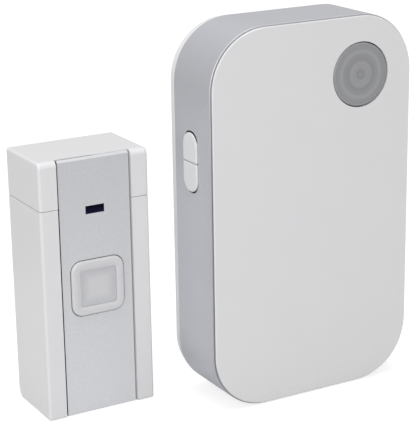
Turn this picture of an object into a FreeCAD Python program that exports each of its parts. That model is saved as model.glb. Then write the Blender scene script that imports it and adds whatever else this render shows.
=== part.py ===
import FreeCAD, Part
import math
import os
import re
import Sketcher

# A wireless doorbell set: a chime receiver and a bell push that stand side by side on one surface.
# X runs to the right, Y from the front to the back and Z up, in millimetres. The origin is the
# middle of the set's footprint. The pieces of each unit are drawn from the middle of its front
# face at the bottom, and their placements carry them to where the unit stands.

SIZES = {
    # The set on its surface
    "unit_gap": 10.55,  # air between the facing sides of the two units
    "push_setback": 26.1,  # how far the push's front lies behind the chime's front
    # Outside of the chime
    "chime_width": 81.3,
    "chime_height": 135.5,
    "chime_depth": 29.9,
    "chime_corner": 21.2,  # radius of the outline's corners
    "cover_inset": 0.5,  # how far the front cover's edge lies inside the band's outline
    "front_rim": 0.5,  # edge of the front cover that shows in front of the groove
    "front_edge_round": 0.4,
    "groove_width": 0.5,  # shadow groove between the front cover and the band
    "groove_depth": 0.6,
    "back_rim": 4.3,  # edge of the back cover that shows behind the band
    "back_slope": 0.95,  # how far that edge leans inwards
    "back_slope_start": 0.4,
    "back_edge_round": 1.0,
    # Walls of the chime and how they nest
    "face_wall": 2.0,
    "back_wall": 2.1,
    "band_wall": 1.6,
    "band_bevel": 0.2,
    "lip_wall": 1.4,
    "lip_depth": 3.5,
    "lip_clearance": 0.1,
    # Round signal light in the chime's upper right corner
    "lens_inset": 21.5,  # from the right side to the centre
    "lens_drop": 21.0,  # from the top to the centre
    "lens_radius": 11.35,
    "lens_gap": 0.2,
    "lens_flange": 1.4,
    "lens_flange_wall": 1.0,
    "lens_ring_pitch": 2.6,
    "lens_ring_width": 0.9,
    "lens_ring_depth": 0.8,
    "lens_edge_round": 0.5,
    "cup_wall": 1.2,
    "cup_floor_radius": 5.0,
    "light_size": 2.6,
    "light_wall": 0.9,
    "light_spread": 2.6,
    # Circuit board of the chime
    "board_wall": 1.6,
    "board_side_gap": 4.4,
    "board_top_gap": 8.0,
    "board_leg": 4.0,  # how far the board's legs reach down beside the battery bay
    "board_bay_gap": 0.5,
    "board_corner": 16.5,
    "board_low_corner": 2.0,
    "post_radius": 2.3,
    "post_inset": 7.0,
    "post_rise": 3.5,
    # Two volume keys on the chime's left side
    "key_depth_place": 14.3,  # from the front face back to the keys' centre line
    "key_drop": 46.8,  # from the top down to the middle of the pair
    "key_width": 9.2,
    "key_height": 20.8,
    "key_corner": 4.4,
    "key_split_corner": 0.6,
    "key_gap": 0.22,
    "key_end_gap": 0.5,
    "key_split": 0.2,
    "key_proud": 0.7,
    "key_edge_round": 0.5,
    "key_flange": 0.9,
    "key_flange_wall": 0.8,
    "key_flange_gap": 0.1,
    "key_travel": 0.6,
    "key_nub": 1.0,
    "key_nub_radius": 2.0,
    # Push switches, alike in both units
    "switch_size": 6.0,
    "switch_wall": 3.5,
    "stem_radius": 1.7,
    "stem_bore_gap": 0.05,
    "stem_proud": 1.2,
    "stem_inside": 1.0,
    "stem_spare": 0.5,
    "touch_gap": 0.05,
    # Loudspeaker behind the grille of the back cover
    "speaker_offset": 8.0,  # to the left of the middle
    "speaker_drop": 37.0,
    "speaker_radius": 18.0,
    "speaker_flange": 2.0,
    "speaker_flange_wall": 1.2,
    "speaker_basket_depth": 6.0,
    "speaker_basket_wall": 1.0,
    "magnet_radius": 9.0,
    "magnet_depth": 5.0,
    "cone_gap": 0.2,
    "cone_wall": 0.6,
    "cone_depth": 4.0,
    "cone_throat": 5.0,
    "speaker_ring_gap": 0.2,
    "speaker_ring_wall": 1.2,
    "speaker_ring_depth": 4.5,
    "grille_hole_radius": 1.1,
    "grille_pitch": 4.2,
    # Battery bay with three cells side by side
    "cell_radius": 7.25,
    "cell_length": 49.5,
    "cell_tip_radius": 2.7,
    "cell_tip": 1.1,
    "cell_spacing": 15.0,
    "cell_side_gap": 0.4,
    "cell_floor_gap": 0.1,
    "spring_room": 4.6,
    "spring_wire": 0.35,
    "spring_radius": 3.2,
    "spring_turns": 3.0,
    "contact_wall": 0.4,
    "contact_size": 10.0,
    "bay_rise": 10.0,
    "bay_wall": 1.5,
    "bay_floor": 1.2,
    "bay_rib": 0.5,
    "bay_rib_height": 2.5,
    # Battery door in the back cover
    "door_wall": 1.8,
    "door_ledge": 0.9,
    "door_gap": 0.2,
    "door_seat_gap": 0.05,
    "pin_radius": 0.6,
    "pin_length": 1.2,
    "pin_gap": 0.05,
    "thumb_radius": 6.0,
    "thumb_depth": 0.8,
    # Screws that hold the chime's covers together, and the bosses they run in
    "screw_top_inset": 7.25,
    "screw_top_drop": 31.0,
    "screw_low_inset": 9.75,
    "screw_low_rise": 20.0,
    "boss_radius": 3.4,
    "screw_radius": 1.15,
    "screw_hole_gap": 0.05,
    "screw_head_radius": 2.2,
    "screw_head_wall": 1.5,
    "screw_sink_gap": 0.3,
    "screw_sink_depth": 6.0,
    "screw_bite": 6.0,
    "screw_tip_room": 0.5,
    # Wall keyholes in the back cover
    "keyhole_spread": 44.0,
    "keyhole_drop": 17.5,
    "keyhole_entry_radius": 3.75,
    "keyhole_slot_width": 4.2,
    "keyhole_slot_rise": 8.0,
    # Small parts on the chime's board
    "chip_size": 9.0,
    "chip_wall": 1.4,
    "chip_offset": 12.0,
    "chip_drop": 26.0,  # below the board's top, as are the next two
    "crystal_length": 10.8,
    "crystal_width": 4.6,
    "crystal_height": 3.4,
    "crystal_offset": 6.0,
    "crystal_drop": 40.0,
    "aerial_radius": 2.4,
    "aerial_wire": 0.4,
    "aerial_pitch": 1.8,
    "aerial_turns": 9.0,
    "aerial_offset": 25.0,
    "aerial_drop": 42.0,
    # Outside of the bell push
    "push_width": 41.0,
    "push_height": 92.75,
    "push_depth": 26.7,
    "push_brow_round": 2.2,  # rounding of the front's top edge
    "push_edge_round": 1.0,
    "push_foot_round": 0.6,
    "push_heel_round": 4.0,  # rounding of the bottom edge at the back
    "push_wall": 1.8,
    "heel_wall": 4.4,
    "heel_depth": 6.3,
    "hood_height": 16.9,  # above the joint with the cover
    "seam_bevel": 0.3,
    # Silver strip down the push's front
    "strip_width": 26.55,
    "strip_wall": 1.5,
    "strip_sink": 0.6,  # how far the strip lies behind the push's front
    "strip_groove": 0.65,
    "strip_end_gap": 0.15,
    "strip_bevel": 0.8,
    "peg_radius": 1.2,
    "peg_gap": 0.1,
    "peg_spread": 18.0,
    "peg_end_inset": 8.0,
    # Indicator window
    "window_width": 6.9,
    "window_height": 2.7,
    "window_drop": 1.9,  # below the joint of hood and cover
    "window_gap": 0.08,
    "pipe_width": 4.4,
    "pipe_height": 1.8,
    "pipe_end_gap": 0.3,
    "lamp_width": 3.2,
    "lamp_height": 2.4,
    "lamp_depth": 1.9,
    # Bell button
    "button_width": 19.95,
    "button_height": 19.85,
    "button_corner": 4.0,
    "button_rise": 46.2,
    "button_gap": 0.25,
    "button_proud": 1.0,
    "button_edge_round": 0.9,
    "button_flange": 1.4,
    "button_flange_wall": 1.2,
    "button_flange_gap": 0.1,
    "button_travel": 0.7,
    "button_nub_radius": 3.0,
    "pad_width": 13.6,
    "pad_height": 13.15,
    "pad_corner": 1.6,
    "pad_gap": 0.08,
    "pad_depth": 2.4,
    "pad_dish": 0.25,
    # Base of the push
    "base_gap": 0.15,
    "base_depth": 11.9,
    "base_plate": 2.3,
    "base_rim_wall": 1.5,
    "base_corner": 1.6,
    "wall_hole_radius": 2.1,
    "wall_sink_radius": 4.0,
    "wall_sink_depth": 1.1,
    "wall_hole_low_rise": 11.5,
    "wall_hole_top_drop": 8.25,
    # Circuit board of the push
    "push_board_depth_place": 15.6,
    "push_board_side_gap": 0.8,
    "push_board_above": 5.4,  # above the indicator
    "push_board_below": 26.8,  # below the bell button's centre
    "push_post_radius": 2.0,
    "push_post_inset": 3.6,
    "coin_radius": 10.0,
    "coin_wall": 3.2,
    "coin_drop": 15.3,  # below the bell button's centre
    "clip_wall": 0.3,
    "clip_width": 8.0,
    "clip_foot": 2.0,
    "push_chip_size": 5.0,
    "push_chip_wall": 1.4,
    "push_chip_rise": 12.0,
    "resonator_radius": 4.6,
    "resonator_height": 3.2,
    "resonator_rise": 12.0,
    "small_offset": 8.0,
}

PLACES = {
    # Where the units stand
    "set_depth": "max(chime_depth; push_setback + push_depth)",
    "chime_x": "(push_width + unit_gap) / 2",
    "chime_y": "-set_depth / 2",
    "push_x": "-(chime_width + unit_gap) / 2",
    "push_y": "push_setback - set_depth / 2",
    # Chime, from its own reference point
    "chime_side": "chime_width / 2",
    "band_front": "front_rim + groove_width",
    "band_back": "chime_depth - back_rim",
    "band_inside": "chime_side - band_wall",
    "back_inside": "chime_depth - back_wall",
    "lip_inset": "band_wall + lip_clearance",
    "hollow_inset": "lip_inset + lip_wall",
    "lens_x": "chime_side - lens_inset",
    "lens_z": "chime_height - lens_drop",
    "lens_seat_radius": "lens_radius + lens_gap + lens_flange",
    "lens_back": "face_wall + lens_flange_wall",
    "board_back": "key_depth_place - switch_size / 2",
    "board_front": "board_back - board_wall",
    "board_side": "chime_side - board_side_gap",
    "board_top": "chime_height - board_top_gap",
    "board_low": "bay_top - board_leg",
    "post_x": "board_side - post_inset",
    "post_z": "board_low + post_rise",
    # Volume keys
    "key_middle": "chime_height - key_drop",
    "key_flange_face": "-band_inside + key_flange_gap",
    "key_flange_back": "key_flange_face + key_flange_wall",
    "key_nub_end": "key_flange_back + key_nub",
    "side_stem_tip": "key_nub_end + touch_gap",
    "side_switch_face": "side_stem_tip + stem_proud",
    "key_centre_rise": "key_height / 4 + key_split / 4",
    # Loudspeaker
    "speaker_z": "chime_height - speaker_drop",
    "flange_front": "back_inside - speaker_flange_wall",
    "basket_front": "flange_front - speaker_basket_depth",
    "flange_hole": "speaker_radius - speaker_flange",
    # Battery bay and door
    "bay_side": "cell_spacing + cell_radius + cell_side_gap",
    "cell_total": "cell_length + cell_tip",
    "bay_top": "bay_rise + cell_total + spring_room + 2 * contact_wall",
    "bay_back": "chime_depth - door_wall - door_seat_gap",
    "cell_y": "bay_back - cell_floor_gap - cell_radius",
    "bay_floor_back": "cell_y - cell_radius - cell_floor_gap",
    "bay_front": "bay_floor_back - bay_floor",
    "opening_side": "bay_side + door_ledge",
    "opening_low": "bay_rise - door_ledge",
    "opening_top": "bay_top + door_ledge",
    "hinge_y": "chime_depth - door_wall / 2",
    "hinge_z": "opening_low + door_gap + door_wall / 2",
    # Chime screws
    "screw_top_x": "chime_side - screw_top_inset",
    "screw_top_z": "chime_height - screw_top_drop",
    "screw_low_x": "chime_side - screw_low_inset",
    "screw_seat": "chime_depth - screw_sink_depth",
    "keyhole_z": "chime_height - keyhole_drop",
    # Push, from its own reference point
    "push_side": "push_width / 2",
    "seam_rise": "push_height - hood_height",
    "window_rise": "seam_rise - window_drop",
    "strip_back": "strip_sink + strip_wall",
    "front_wall": "strip_back + push_wall",
    "channel_side": "strip_width / 2 + strip_groove",
    "button_front": "strip_sink - button_proud",
    "heel_start": "push_depth - heel_depth",
    "base_side": "push_side - push_wall - base_gap",
    "base_low": "heel_wall + base_gap",
    "base_top": "push_height - push_wall - base_gap",
    "base_front": "push_depth - base_depth",
    "plate_front": "push_depth - base_plate",
    "push_board_side": "base_side - base_rim_wall - push_board_side_gap",
    "push_board_back": "push_board_depth_place + board_wall",
    "push_board_top": "window_rise + push_board_above",
    "push_board_low": "button_rise - push_board_below",
    "push_post_x": "push_board_side - push_post_inset",
    "push_post_top": "push_board_top - push_post_inset",
    "push_post_low": "push_board_low + push_post_inset",
    "push_switch_face": "push_board_depth_place - switch_wall",
    "push_stem_tip": "push_switch_face - stem_proud",
    "button_flange_front": "front_wall + button_flange_gap",
    "button_back": "button_flange_front + button_flange_wall",
    "button_nub_end": "push_stem_tip - touch_gap",
    "coin_z": "button_rise - coin_drop",
    "coin_back": "push_board_depth_place - clip_wall",
    "coin_front": "coin_back - coin_wall",
    "lamp_front": "push_board_depth_place - lamp_depth",
    "wall_hole_top": "push_height - wall_hole_top_drop",
}

UNITS = {"chime": ("chime_x", "chime_y"), "push": ("push_x", "push_y")}

doc = FreeCAD.newDocument("wireless_doorbell")
sheet = doc.addObject("Spreadsheet::Sheet", "sizes")
for row, (alias, size) in enumerate(SIZES.items(), 1):
    sheet.set(f"A{row}", alias)
    sheet.set(f"B{row}", str(size))
    sheet.setAlias(f"B{row}", alias)
doc.recompute()

sub_parts = []


# Sizes, places and bindings

def formula(text):
    """Write a formula out in full, with each size pointed at its cell of the sheet."""
    def swap(match):
        word = match.group(0)
        if word in PLACES:
            return "(" + formula(PLACES[word]) + ")"
        if word in SIZES:
            return "sizes." + word
        return word
    return re.sub(r"\b[a-z][a-z_0-9]*\b", swap, text)


def value(text):
    """Work a formula out with the sheet's present numbers."""
    return float(sheet.evalExpression(formula(text)))


def bind(thing, name, text):
    """Tie one property of an object to a formula."""
    thing.setExpression(name, formula(text))


def keep(thing, label):
    """List a finished sub-part under its label."""
    thing.Label = label
    sub_parts.append(thing)
    return thing


# Bodies, their sketches and features

def new_body(label, unit):
    """Start a body at its unit's reference point."""
    body = doc.addObject("PartDesign::Body", label)
    bind(body, "Placement.Base.x", UNITS[unit][0])
    bind(body, "Placement.Base.y", UNITS[unit][1])
    return keep(body, label)


def draw(body, plane, level, across="0", up="0"):
    """Add an empty sketch to a body, on its XZ or YZ plane moved to a level along its axis."""
    drawing = body.newObject("Sketcher::SketchObject", body.Name + "_drawing")
    support = [item for item in body.Origin.OriginFeatures if item.Role == plane + "_Plane"]
    drawing.AttachmentSupport = [(support[0], "")]
    drawing.MapMode = "FlatFace"
    sign = "-" if plane == "XZ" else ""
    bind(drawing, "AttachmentOffset.Base.x", across)
    bind(drawing, "AttachmentOffset.Base.y", up)
    bind(drawing, "AttachmentOffset.Base.z", f"{sign}({level})")
    return drawing


def hold(drawing, kind, where, text):
    """Add a constraint whose number follows a formula."""
    index = drawing.addConstraint(Sketcher.Constraint(kind, *where, value(text)))
    drawing.setExpression(f"Constraints[{index}]", formula(text))


def outline(drawing, left, right, low, high, low_radius=None, high_radius=None):
    """Draw a rectangle, with round corners at an end whose radius is given."""
    x_low, x_high, z_low, z_high = value(left), value(right), value(low), value(high)
    low_cut = value(low_radius) if low_radius else 0
    high_cut = value(high_radius) if high_radius else 0
    ends = [
        (x_low + low_cut, z_low, x_high - low_cut, z_low),
        (x_high, z_low + low_cut, x_high, z_high - high_cut),
        (x_high - high_cut, z_high, x_low + high_cut, z_high),
        (x_low, z_high - high_cut, x_low, z_low + low_cut),
    ]
    lines = []
    for x_from, z_from, x_to, z_to in ends:
        start = FreeCAD.Vector(x_from, z_from, 0)
        stop = FreeCAD.Vector(x_to, z_to, 0)
        lines.append(drawing.addGeometry(Part.LineSegment(start, stop)))
    for line, kind in zip(lines, ["Horizontal", "Vertical"] * 2):
        drawing.addConstraint(Sketcher.Constraint(kind, line))
    middles = [
        (x_high - low_cut, z_low + low_cut),
        (x_high - high_cut, z_high - high_cut),
        (x_low + high_cut, z_high - high_cut),
        (x_low + low_cut, z_low + low_cut),
    ]
    for index, radius in enumerate([low_radius, high_radius, high_radius, low_radius]):
        line = lines[index]
        following = lines[(index + 1) % 4]
        if radius is None:
            drawing.addConstraint(Sketcher.Constraint("Coincident", line, 2, following, 1))
            continue
        middle = FreeCAD.Vector(*middles[index], 0)
        ring = Part.Circle(middle, FreeCAD.Vector(0, 0, 1), value(radius))
        start_angle = math.radians(90 * (index - 1))
        arc = drawing.addGeometry(Part.ArcOfCircle(ring, start_angle, start_angle + math.pi / 2))
        drawing.addConstraint(Sketcher.Constraint("Tangent", line, 2, arc, 1))
        drawing.addConstraint(Sketcher.Constraint("Tangent", arc, 2, following, 1))
        hold(drawing, "Radius", (arc,), radius)
    hold(drawing, "DistanceY", (-1, 1, lines[0], 1), low)
    hold(drawing, "DistanceX", (-1, 1, lines[1], 1), right)
    hold(drawing, "DistanceY", (-1, 1, lines[2], 1), high)
    hold(drawing, "DistanceX", (-1, 1, lines[3], 1), left)


def circle(drawing, across, up, radius):
    """Draw a circle."""
    middle = FreeCAD.Vector(value(across), value(up), 0)
    ring = drawing.addGeometry(Part.Circle(middle, FreeCAD.Vector(0, 0, 1), value(radius)))
    hold(drawing, "DistanceX", (-1, 1, ring, 3), across)
    hold(drawing, "DistanceY", (-1, 1, ring, 3), up)
    hold(drawing, "Radius", (ring,), radius)


def facing_away(drawing):
    """Tell whether the sketch's own normal runs against its axis, as on the XZ plane."""
    return drawing.AttachmentSupport[0][0].Role == "XZ_Plane"


def grow(body, drawing, length):
    """Pad a sketch from its level towards the positive end of its axis."""
    pad = body.newObject("PartDesign::Pad", body.Name + "_pad")
    pad.Profile = drawing
    pad.Reversed = facing_away(drawing)
    bind(pad, "Length", length)
    drawing.Visibility = False
    return pad


def cut(body, drawing, length):
    """Cut a sketch out of the body from its level towards the positive end of its axis."""
    doc.recompute()
    before = body.Shape.Volume
    pocket = body.newObject("PartDesign::Pocket", body.Name + "_pocket")
    pocket.Profile = drawing
    pocket.Reversed = not facing_away(drawing)
    bind(pocket, "Length", length)
    doc.recompute()
    if body.Shape.Volume > before - 1e-6:
        raise ValueError(f"a cut in {body.Label} removed nothing")
    return pocket


def edges_at(body, axis, level, wanted=None):
    """Name the edges that lie flat at a level of one axis and pass a test on their middle point."""
    names = []
    height = value(level)
    for number, edge in enumerate(body.Tip.Shape.Edges, 1):
        first, last = edge.ParameterRange
        spots = [edge.valueAt(first), edge.valueAt((first + last) / 2), edge.valueAt(last)]
        flat = all(abs(getattr(spot, axis) - height) < 1e-5 for spot in spots)
        if flat and (wanted is None or wanted(spots[1])):
            names.append(f"Edge{number}")
    return names


def soften(body, names, radius, kind="Fillet"):
    """Round or bevel the named edges of a body."""
    finish = body.newObject("PartDesign::" + kind, body.Name + "_edge")
    finish.Base = (previous_of(body, finish), names)
    bind(finish, "Radius" if kind == "Fillet" else "Size", radius)
    doc.recompute()
    return finish


def slope(body, names, inwards, along):
    """Bevel the named rim edges of an end face, with one reach on that face and another along the side."""
    finish = body.newObject("PartDesign::Chamfer", body.Name + "_slope")
    finish.Base = (previous_of(body, finish), names)
    finish.ChamferType = "Two distances"
    bind(finish, "Size", along)
    bind(finish, "Size2", inwards)
    doc.recompute()
    return finish


def previous_of(body, feature):
    """Find the solid feature just before the given one."""
    solids = [item for item in body.Group if item.isDerivedFrom("PartDesign::Feature")]
    return solids[solids.index(feature) - 1]


def spread_round(body, feature, count):
    """Repeat a feature round the middle of its own sketch, the sketch's normal as the axis."""
    pattern = body.newObject("PartDesign::PolarPattern", body.Name + "_ring")
    pattern.Originals = [feature]
    pattern.Axis = (feature.Profile[0], ["N_Axis"])
    pattern.Angle = 360
    pattern.Occurrences = count
    body.Tip = pattern
    return pattern


# Plain solids placed in the frame of their unit

def spot(thing, unit, x, y, z):
    """Tie a solid's place to formulas in its unit's frame."""
    bind(thing, "Placement.Base.x", f"{UNITS[unit][0]} + {x}")
    bind(thing, "Placement.Base.y", f"{UNITS[unit][1]} + {y}")
    bind(thing, "Placement.Base.z", z)


def block(label, unit, x_range, y_range, z_range):
    """Make a box between three pairs of formulas."""
    box = doc.addObject("Part::Box", label)
    box.Label = label
    bind(box, "Length", f"({x_range[1]}) - ({x_range[0]})")
    bind(box, "Width", f"({y_range[1]}) - ({y_range[0]})")
    bind(box, "Height", f"({z_range[1]}) - ({z_range[0]})")
    spot(box, unit, f"({x_range[0]})", f"({y_range[0]})", z_range[0])
    return box


TURNS = {
    "x": FreeCAD.Rotation(FreeCAD.Vector(0, 1, 0), 90),
    "y": FreeCAD.Rotation(FreeCAD.Vector(1, 0, 0), -90),
    "z": FreeCAD.Rotation(),
}


def rod(label, unit, axis, start, length, radius):
    """Make a cylinder from a start point along the positive x, y or z axis."""
    cylinder = doc.addObject("Part::Cylinder", label)
    cylinder.Label = label
    cylinder.Placement = FreeCAD.Placement(FreeCAD.Vector(), TURNS[axis])
    bind(cylinder, "Radius", radius)
    bind(cylinder, "Height", length)
    spot(cylinder, unit, *[f"({item})" for item in start])
    return cylinder


def taper(label, unit, axis, start, length, first_radius, last_radius):
    """Make a cone with two end radii from a start point along the positive axis."""
    cone = doc.addObject("Part::Cone", label)
    cone.Label = label
    cone.Placement = FreeCAD.Placement(FreeCAD.Vector(), TURNS[axis])
    bind(cone, "Radius1", first_radius)
    bind(cone, "Radius2", last_radius)
    bind(cone, "Height", length)
    spot(cone, unit, *[f"({item})" for item in start])
    return cone


def fuse(label, solids):
    """Join solids that touch or overlap into one."""
    union = doc.addObject("Part::MultiFuse", label)
    union.Label = label
    union.Shapes = solids
    union.Refine = True
    return union


def subtract(label, base, tool):
    """Take one solid from another."""
    rest = doc.addObject("Part::Cut", label)
    rest.Label = label
    rest.Base = base
    rest.Tool = tool
    return rest


def group(label, solids):
    """Keep alike solids together as one sub-part."""
    bundle = doc.addObject("Part::Compound", label)
    bundle.Links = solids
    return keep(bundle, label)


def biarc_edges(start, start_way, stop, stop_way):
    """Join two points by two arcs that leave and arrive along the given directions."""
    gap = stop - start
    spread = 2 * (1 - start_way.dot(stop_way))
    mix = gap.dot(start_way + stop_way)
    reach = (math.sqrt(mix * mix + spread * gap.dot(gap)) - mix) / spread
    first_knee = start + start_way * reach
    last_knee = stop - stop_way * reach
    joint = (first_knee + last_knee) * 0.5
    edges = []
    for one, knee, other in ((start, first_knee, joint), (joint, last_knee, stop)):
        chord_middle = (one + other) * 0.5
        share = (one - chord_middle).Length / reach
        top = chord_middle + (knee - chord_middle) * (share / (1 + share))
        edges.append(Part.Arc(one, top, other).toShape())
    return edges


def coil(label, unit, place, radius, wire, pitch, turns):
    """Wind a round wire about an upright axis that starts at a place, from formulas."""
    reach, climb = value(radius), value(pitch) / (2 * math.pi)

    def state(angle):
        out = FreeCAD.Vector(math.cos(angle), math.sin(angle), 0)
        along = FreeCAD.Vector(-math.sin(angle) * reach, math.cos(angle) * reach, climb)
        return out * reach + FreeCAD.Vector(0, 0, climb * angle), along.normalize()

    edges = []
    for step in range(round(value(turns) * 4)):
        start, start_way = state(step * math.pi / 2)
        stop, stop_way = state((step + 1) * math.pi / 2)
        edges.extend(biarc_edges(start, start_way, stop, stop_way))
    start, start_way = state(0)
    ring = Part.Wire([Part.Circle(start, start_way, value(wire)).toShape()])
    thing = doc.addObject("Part::Feature", label)
    thing.Label = label
    thing.Shape = Part.Wire(edges).makePipeShell([ring], True, False)
    spot(thing, unit, *place)
    print(label, "least gap between turns", round(value(pitch) - 2 * value(wire), 2))
    return thing


# Chime: its three nested housing pieces

def chime_outline(drawing, inset):
    """Draw the chime's outline, drawn in by an inset all round."""
    outline(drawing, f"{inset} - chime_side", f"chime_side - {inset}", inset,
            f"chime_height - {inset}", f"chime_corner - {inset}", f"chime_corner - {inset}")


SCREW_SPOTS = [
    ("-screw_top_x", "screw_top_z"),
    ("screw_top_x", "screw_top_z"),
    ("-screw_low_x", "screw_low_rise"),
    ("screw_low_x", "screw_low_rise"),
]
POST_SPOTS = [("-post_x", "post_z"), ("post_x", "post_z")]


def make_front_cover():
    """White front plate with a lip that nests in the band, and the bosses for screws and board."""
    cover = new_body("chime_front_cover", "chime")
    face = draw(cover, "XZ", "0")
    chime_outline(face, "cover_inset")
    grow(cover, face, "front_rim")
    doc.recompute()
    soften(cover, edges_at(cover, "y", "0"), "front_edge_round")
    neck = draw(cover, "XZ", "front_rim")
    chime_outline(neck, "(cover_inset + groove_depth)")
    grow(cover, neck, "groove_width")
    nested = draw(cover, "XZ", "band_front")
    chime_outline(nested, "lip_inset")
    grow(cover, nested, "face_wall + lip_depth - band_front")
    hollow = draw(cover, "XZ", "face_wall")
    chime_outline(hollow, "hollow_inset")
    cut(cover, hollow, "2 * lip_depth")
    seat = draw(cover, "XZ", "face_wall")
    circle(seat, "lens_x", "lens_z", "lens_seat_radius + lens_gap + cup_wall")
    circle(seat, "lens_x", "lens_z", "lens_seat_radius + lens_gap")
    grow(cover, seat, "lens_flange_wall + cup_wall")
    for spots, end in ((SCREW_SPOTS[:2], "board_front"), (SCREW_SPOTS[2:], "board_back")):
        bosses = draw(cover, "XZ", "face_wall")
        for across, up in spots:
            circle(bosses, across, up, "boss_radius")
        grow(cover, bosses, f"{end} - face_wall")
    posts = draw(cover, "XZ", "face_wall")
    for across, up in POST_SPOTS:
        circle(posts, across, up, "post_radius")
    grow(cover, posts, "board_front - face_wall")
    pilots = draw(cover, "XZ", "board_front - screw_bite")
    for across, up in SCREW_SPOTS + POST_SPOTS:
        circle(pilots, across, up, "screw_radius + screw_hole_gap")
    cut(cover, pilots, "screw_bite + 2 * board_wall")
    hole = draw(cover, "XZ", "0")
    circle(hole, "lens_x", "lens_z", "lens_radius + lens_gap")
    cut(cover, hole, "face_wall")


def make_side_band():
    """Silver band round the chime, with fine bevels at its joints and the keys' opening."""
    band = new_body("chime_side_band", "chime")
    ring = draw(band, "XZ", "band_front")
    chime_outline(ring, "0")
    grow(band, ring, "band_back - band_front")
    doc.recompute()
    for level in ("band_front", "band_back"):
        soften(band, edges_at(band, "y", level), "band_bevel", "Chamfer")
    hollow = draw(band, "XZ", "band_front")
    chime_outline(hollow, "band_wall")
    cut(band, hollow, "chime_depth")
    slot = draw(band, "YZ", "-chime_side - band_wall")
    outline(slot, "key_depth_place - key_width / 2 - key_gap", "key_depth_place + key_width / 2 + key_gap",
            "key_middle - key_height / 2 - key_end_gap", "key_middle + key_height / 2 + key_end_gap",
            "key_corner", "key_corner")
    cut(band, slot, "3 * band_wall")


def make_back_cover():
    """White back with the battery bay, screw bosses, speaker ring, grille and wall keyholes."""
    cover = new_body("chime_back_cover", "chime")
    plate = draw(cover, "XZ", "band_back")
    chime_outline(plate, "0")
    grow(cover, plate, "back_rim")
    doc.recompute()
    slope(cover, edges_at(cover, "y", "chime_depth"), "back_slope", "back_rim - back_slope_start")
    soften(cover, edges_at(cover, "y", "chime_depth"), "back_edge_round")
    hollow = draw(cover, "XZ", "band_back")
    chime_outline(hollow, "hollow_inset")
    cut(cover, hollow, "back_rim - back_wall")
    lip = draw(cover, "XZ", "band_back - lip_depth")
    chime_outline(lip, "lip_inset")
    chime_outline(lip, "hollow_inset")
    grow(cover, lip, "lip_depth")
    ring = draw(cover, "XZ", "back_inside - speaker_ring_depth")
    circle(ring, "-speaker_offset", "speaker_z", "speaker_radius + speaker_ring_gap + speaker_ring_wall")
    circle(ring, "-speaker_offset", "speaker_z", "speaker_radius + speaker_ring_gap")
    grow(cover, ring, "speaker_ring_depth")
    bosses = draw(cover, "XZ", "board_back")
    for across, up in SCREW_SPOTS:
        circle(bosses, across, up, "boss_radius")
    grow(cover, bosses, "back_inside - board_back")
    tub = draw(cover, "XZ", "bay_front")
    outline(tub, "-bay_side - bay_wall", "bay_side + bay_wall", "bay_rise - bay_wall", "bay_top + bay_wall")
    grow(cover, tub, "back_inside - bay_front")
    bay = draw(cover, "XZ", "bay_floor_back")
    outline(bay, "-bay_side", "bay_side", "bay_rise", "bay_top")
    cut(cover, bay, "chime_depth")
    opening = draw(cover, "XZ", "bay_back")
    outline(opening, "-opening_side", "opening_side", "opening_low", "opening_top")
    cut(cover, opening, "chime_depth")
    ribs = draw(cover, "XZ", "bay_floor_back")
    for side in ("-", ""):
        outline(ribs, f"{side}cell_spacing / 2 - bay_rib / 2", f"{side}cell_spacing / 2 + bay_rib / 2",
                "bay_rise + spring_room", "bay_top - spring_room")
    grow(cover, ribs, "bay_rib_height")
    hinge = draw(cover, "YZ", "-opening_side - pin_length - pin_gap")
    circle(hinge, "hinge_y", "hinge_z", "pin_radius + pin_gap")
    cut(cover, hinge, "2 * (opening_side + pin_length + pin_gap)")
    shafts = draw(cover, "XZ", "board_front")
    sinks = draw(cover, "XZ", "screw_seat")
    for across, up in SCREW_SPOTS:
        circle(shafts, across, up, "screw_radius + screw_hole_gap")
        circle(sinks, across, up, "screw_head_radius + screw_sink_gap")
    cut(cover, shafts, "chime_depth")
    cut(cover, sinks, "chime_depth")
    entries = draw(cover, "XZ", "back_inside")
    slots = draw(cover, "XZ", "back_inside")
    for side in ("-", ""):
        middle = f"{side}keyhole_spread / 2"
        circle(entries, middle, "keyhole_z", "keyhole_entry_radius")
        outline(slots, f"{middle} - keyhole_slot_width / 2", f"{middle} + keyhole_slot_width / 2",
                "keyhole_z", "keyhole_z + keyhole_slot_rise", None, "keyhole_slot_width / 2.1")
    cut(cover, entries, "chime_depth")
    cut(cover, slots, "chime_depth")
    centre = draw(cover, "XZ", "back_inside", "-speaker_offset", "speaker_z")
    circle(centre, "0", "0", "grille_hole_radius")
    cut(cover, centre, "chime_depth")
    for turn in (1, 2, 3):
        hole = draw(cover, "XZ", "back_inside", "-speaker_offset", "speaker_z")
        circle(hole, f"{turn} * grille_pitch", "0", "grille_hole_radius")
        spread_round(cover, cut(cover, hole, "chime_depth"), 6 * turn)


def make_battery_door():
    """Door flush with the back, hung on two pins at its lower edge, with a thumb recess on top."""
    side = "(opening_side - door_gap)"
    front = "chime_depth - door_wall"
    leaf = block("door_leaf", "chime", (f"-{side}", side), (front, "chime_depth"),
                 ("hinge_z", "opening_top - door_gap"))
    roll = rod("door_roll", "chime", "x", (f"-{side}", "hinge_y", "hinge_z"), f"2 * {side}", "door_wall / 2")
    pins = rod("door_pins", "chime", "x", ("-opening_side - pin_length", "hinge_y", "hinge_z"),
               "2 * (opening_side + pin_length)", "pin_radius")
    thumb = rod("door_thumb", "chime", "y", ("0", "chime_depth - thumb_depth", "opening_top - door_gap"),
                "thumb_depth", "thumb_radius")
    keep(subtract("battery_door", fuse("door_solid", [leaf, roll, pins]), thumb), "battery_door")


# Chime: the signal light, the board and what is on it

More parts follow.
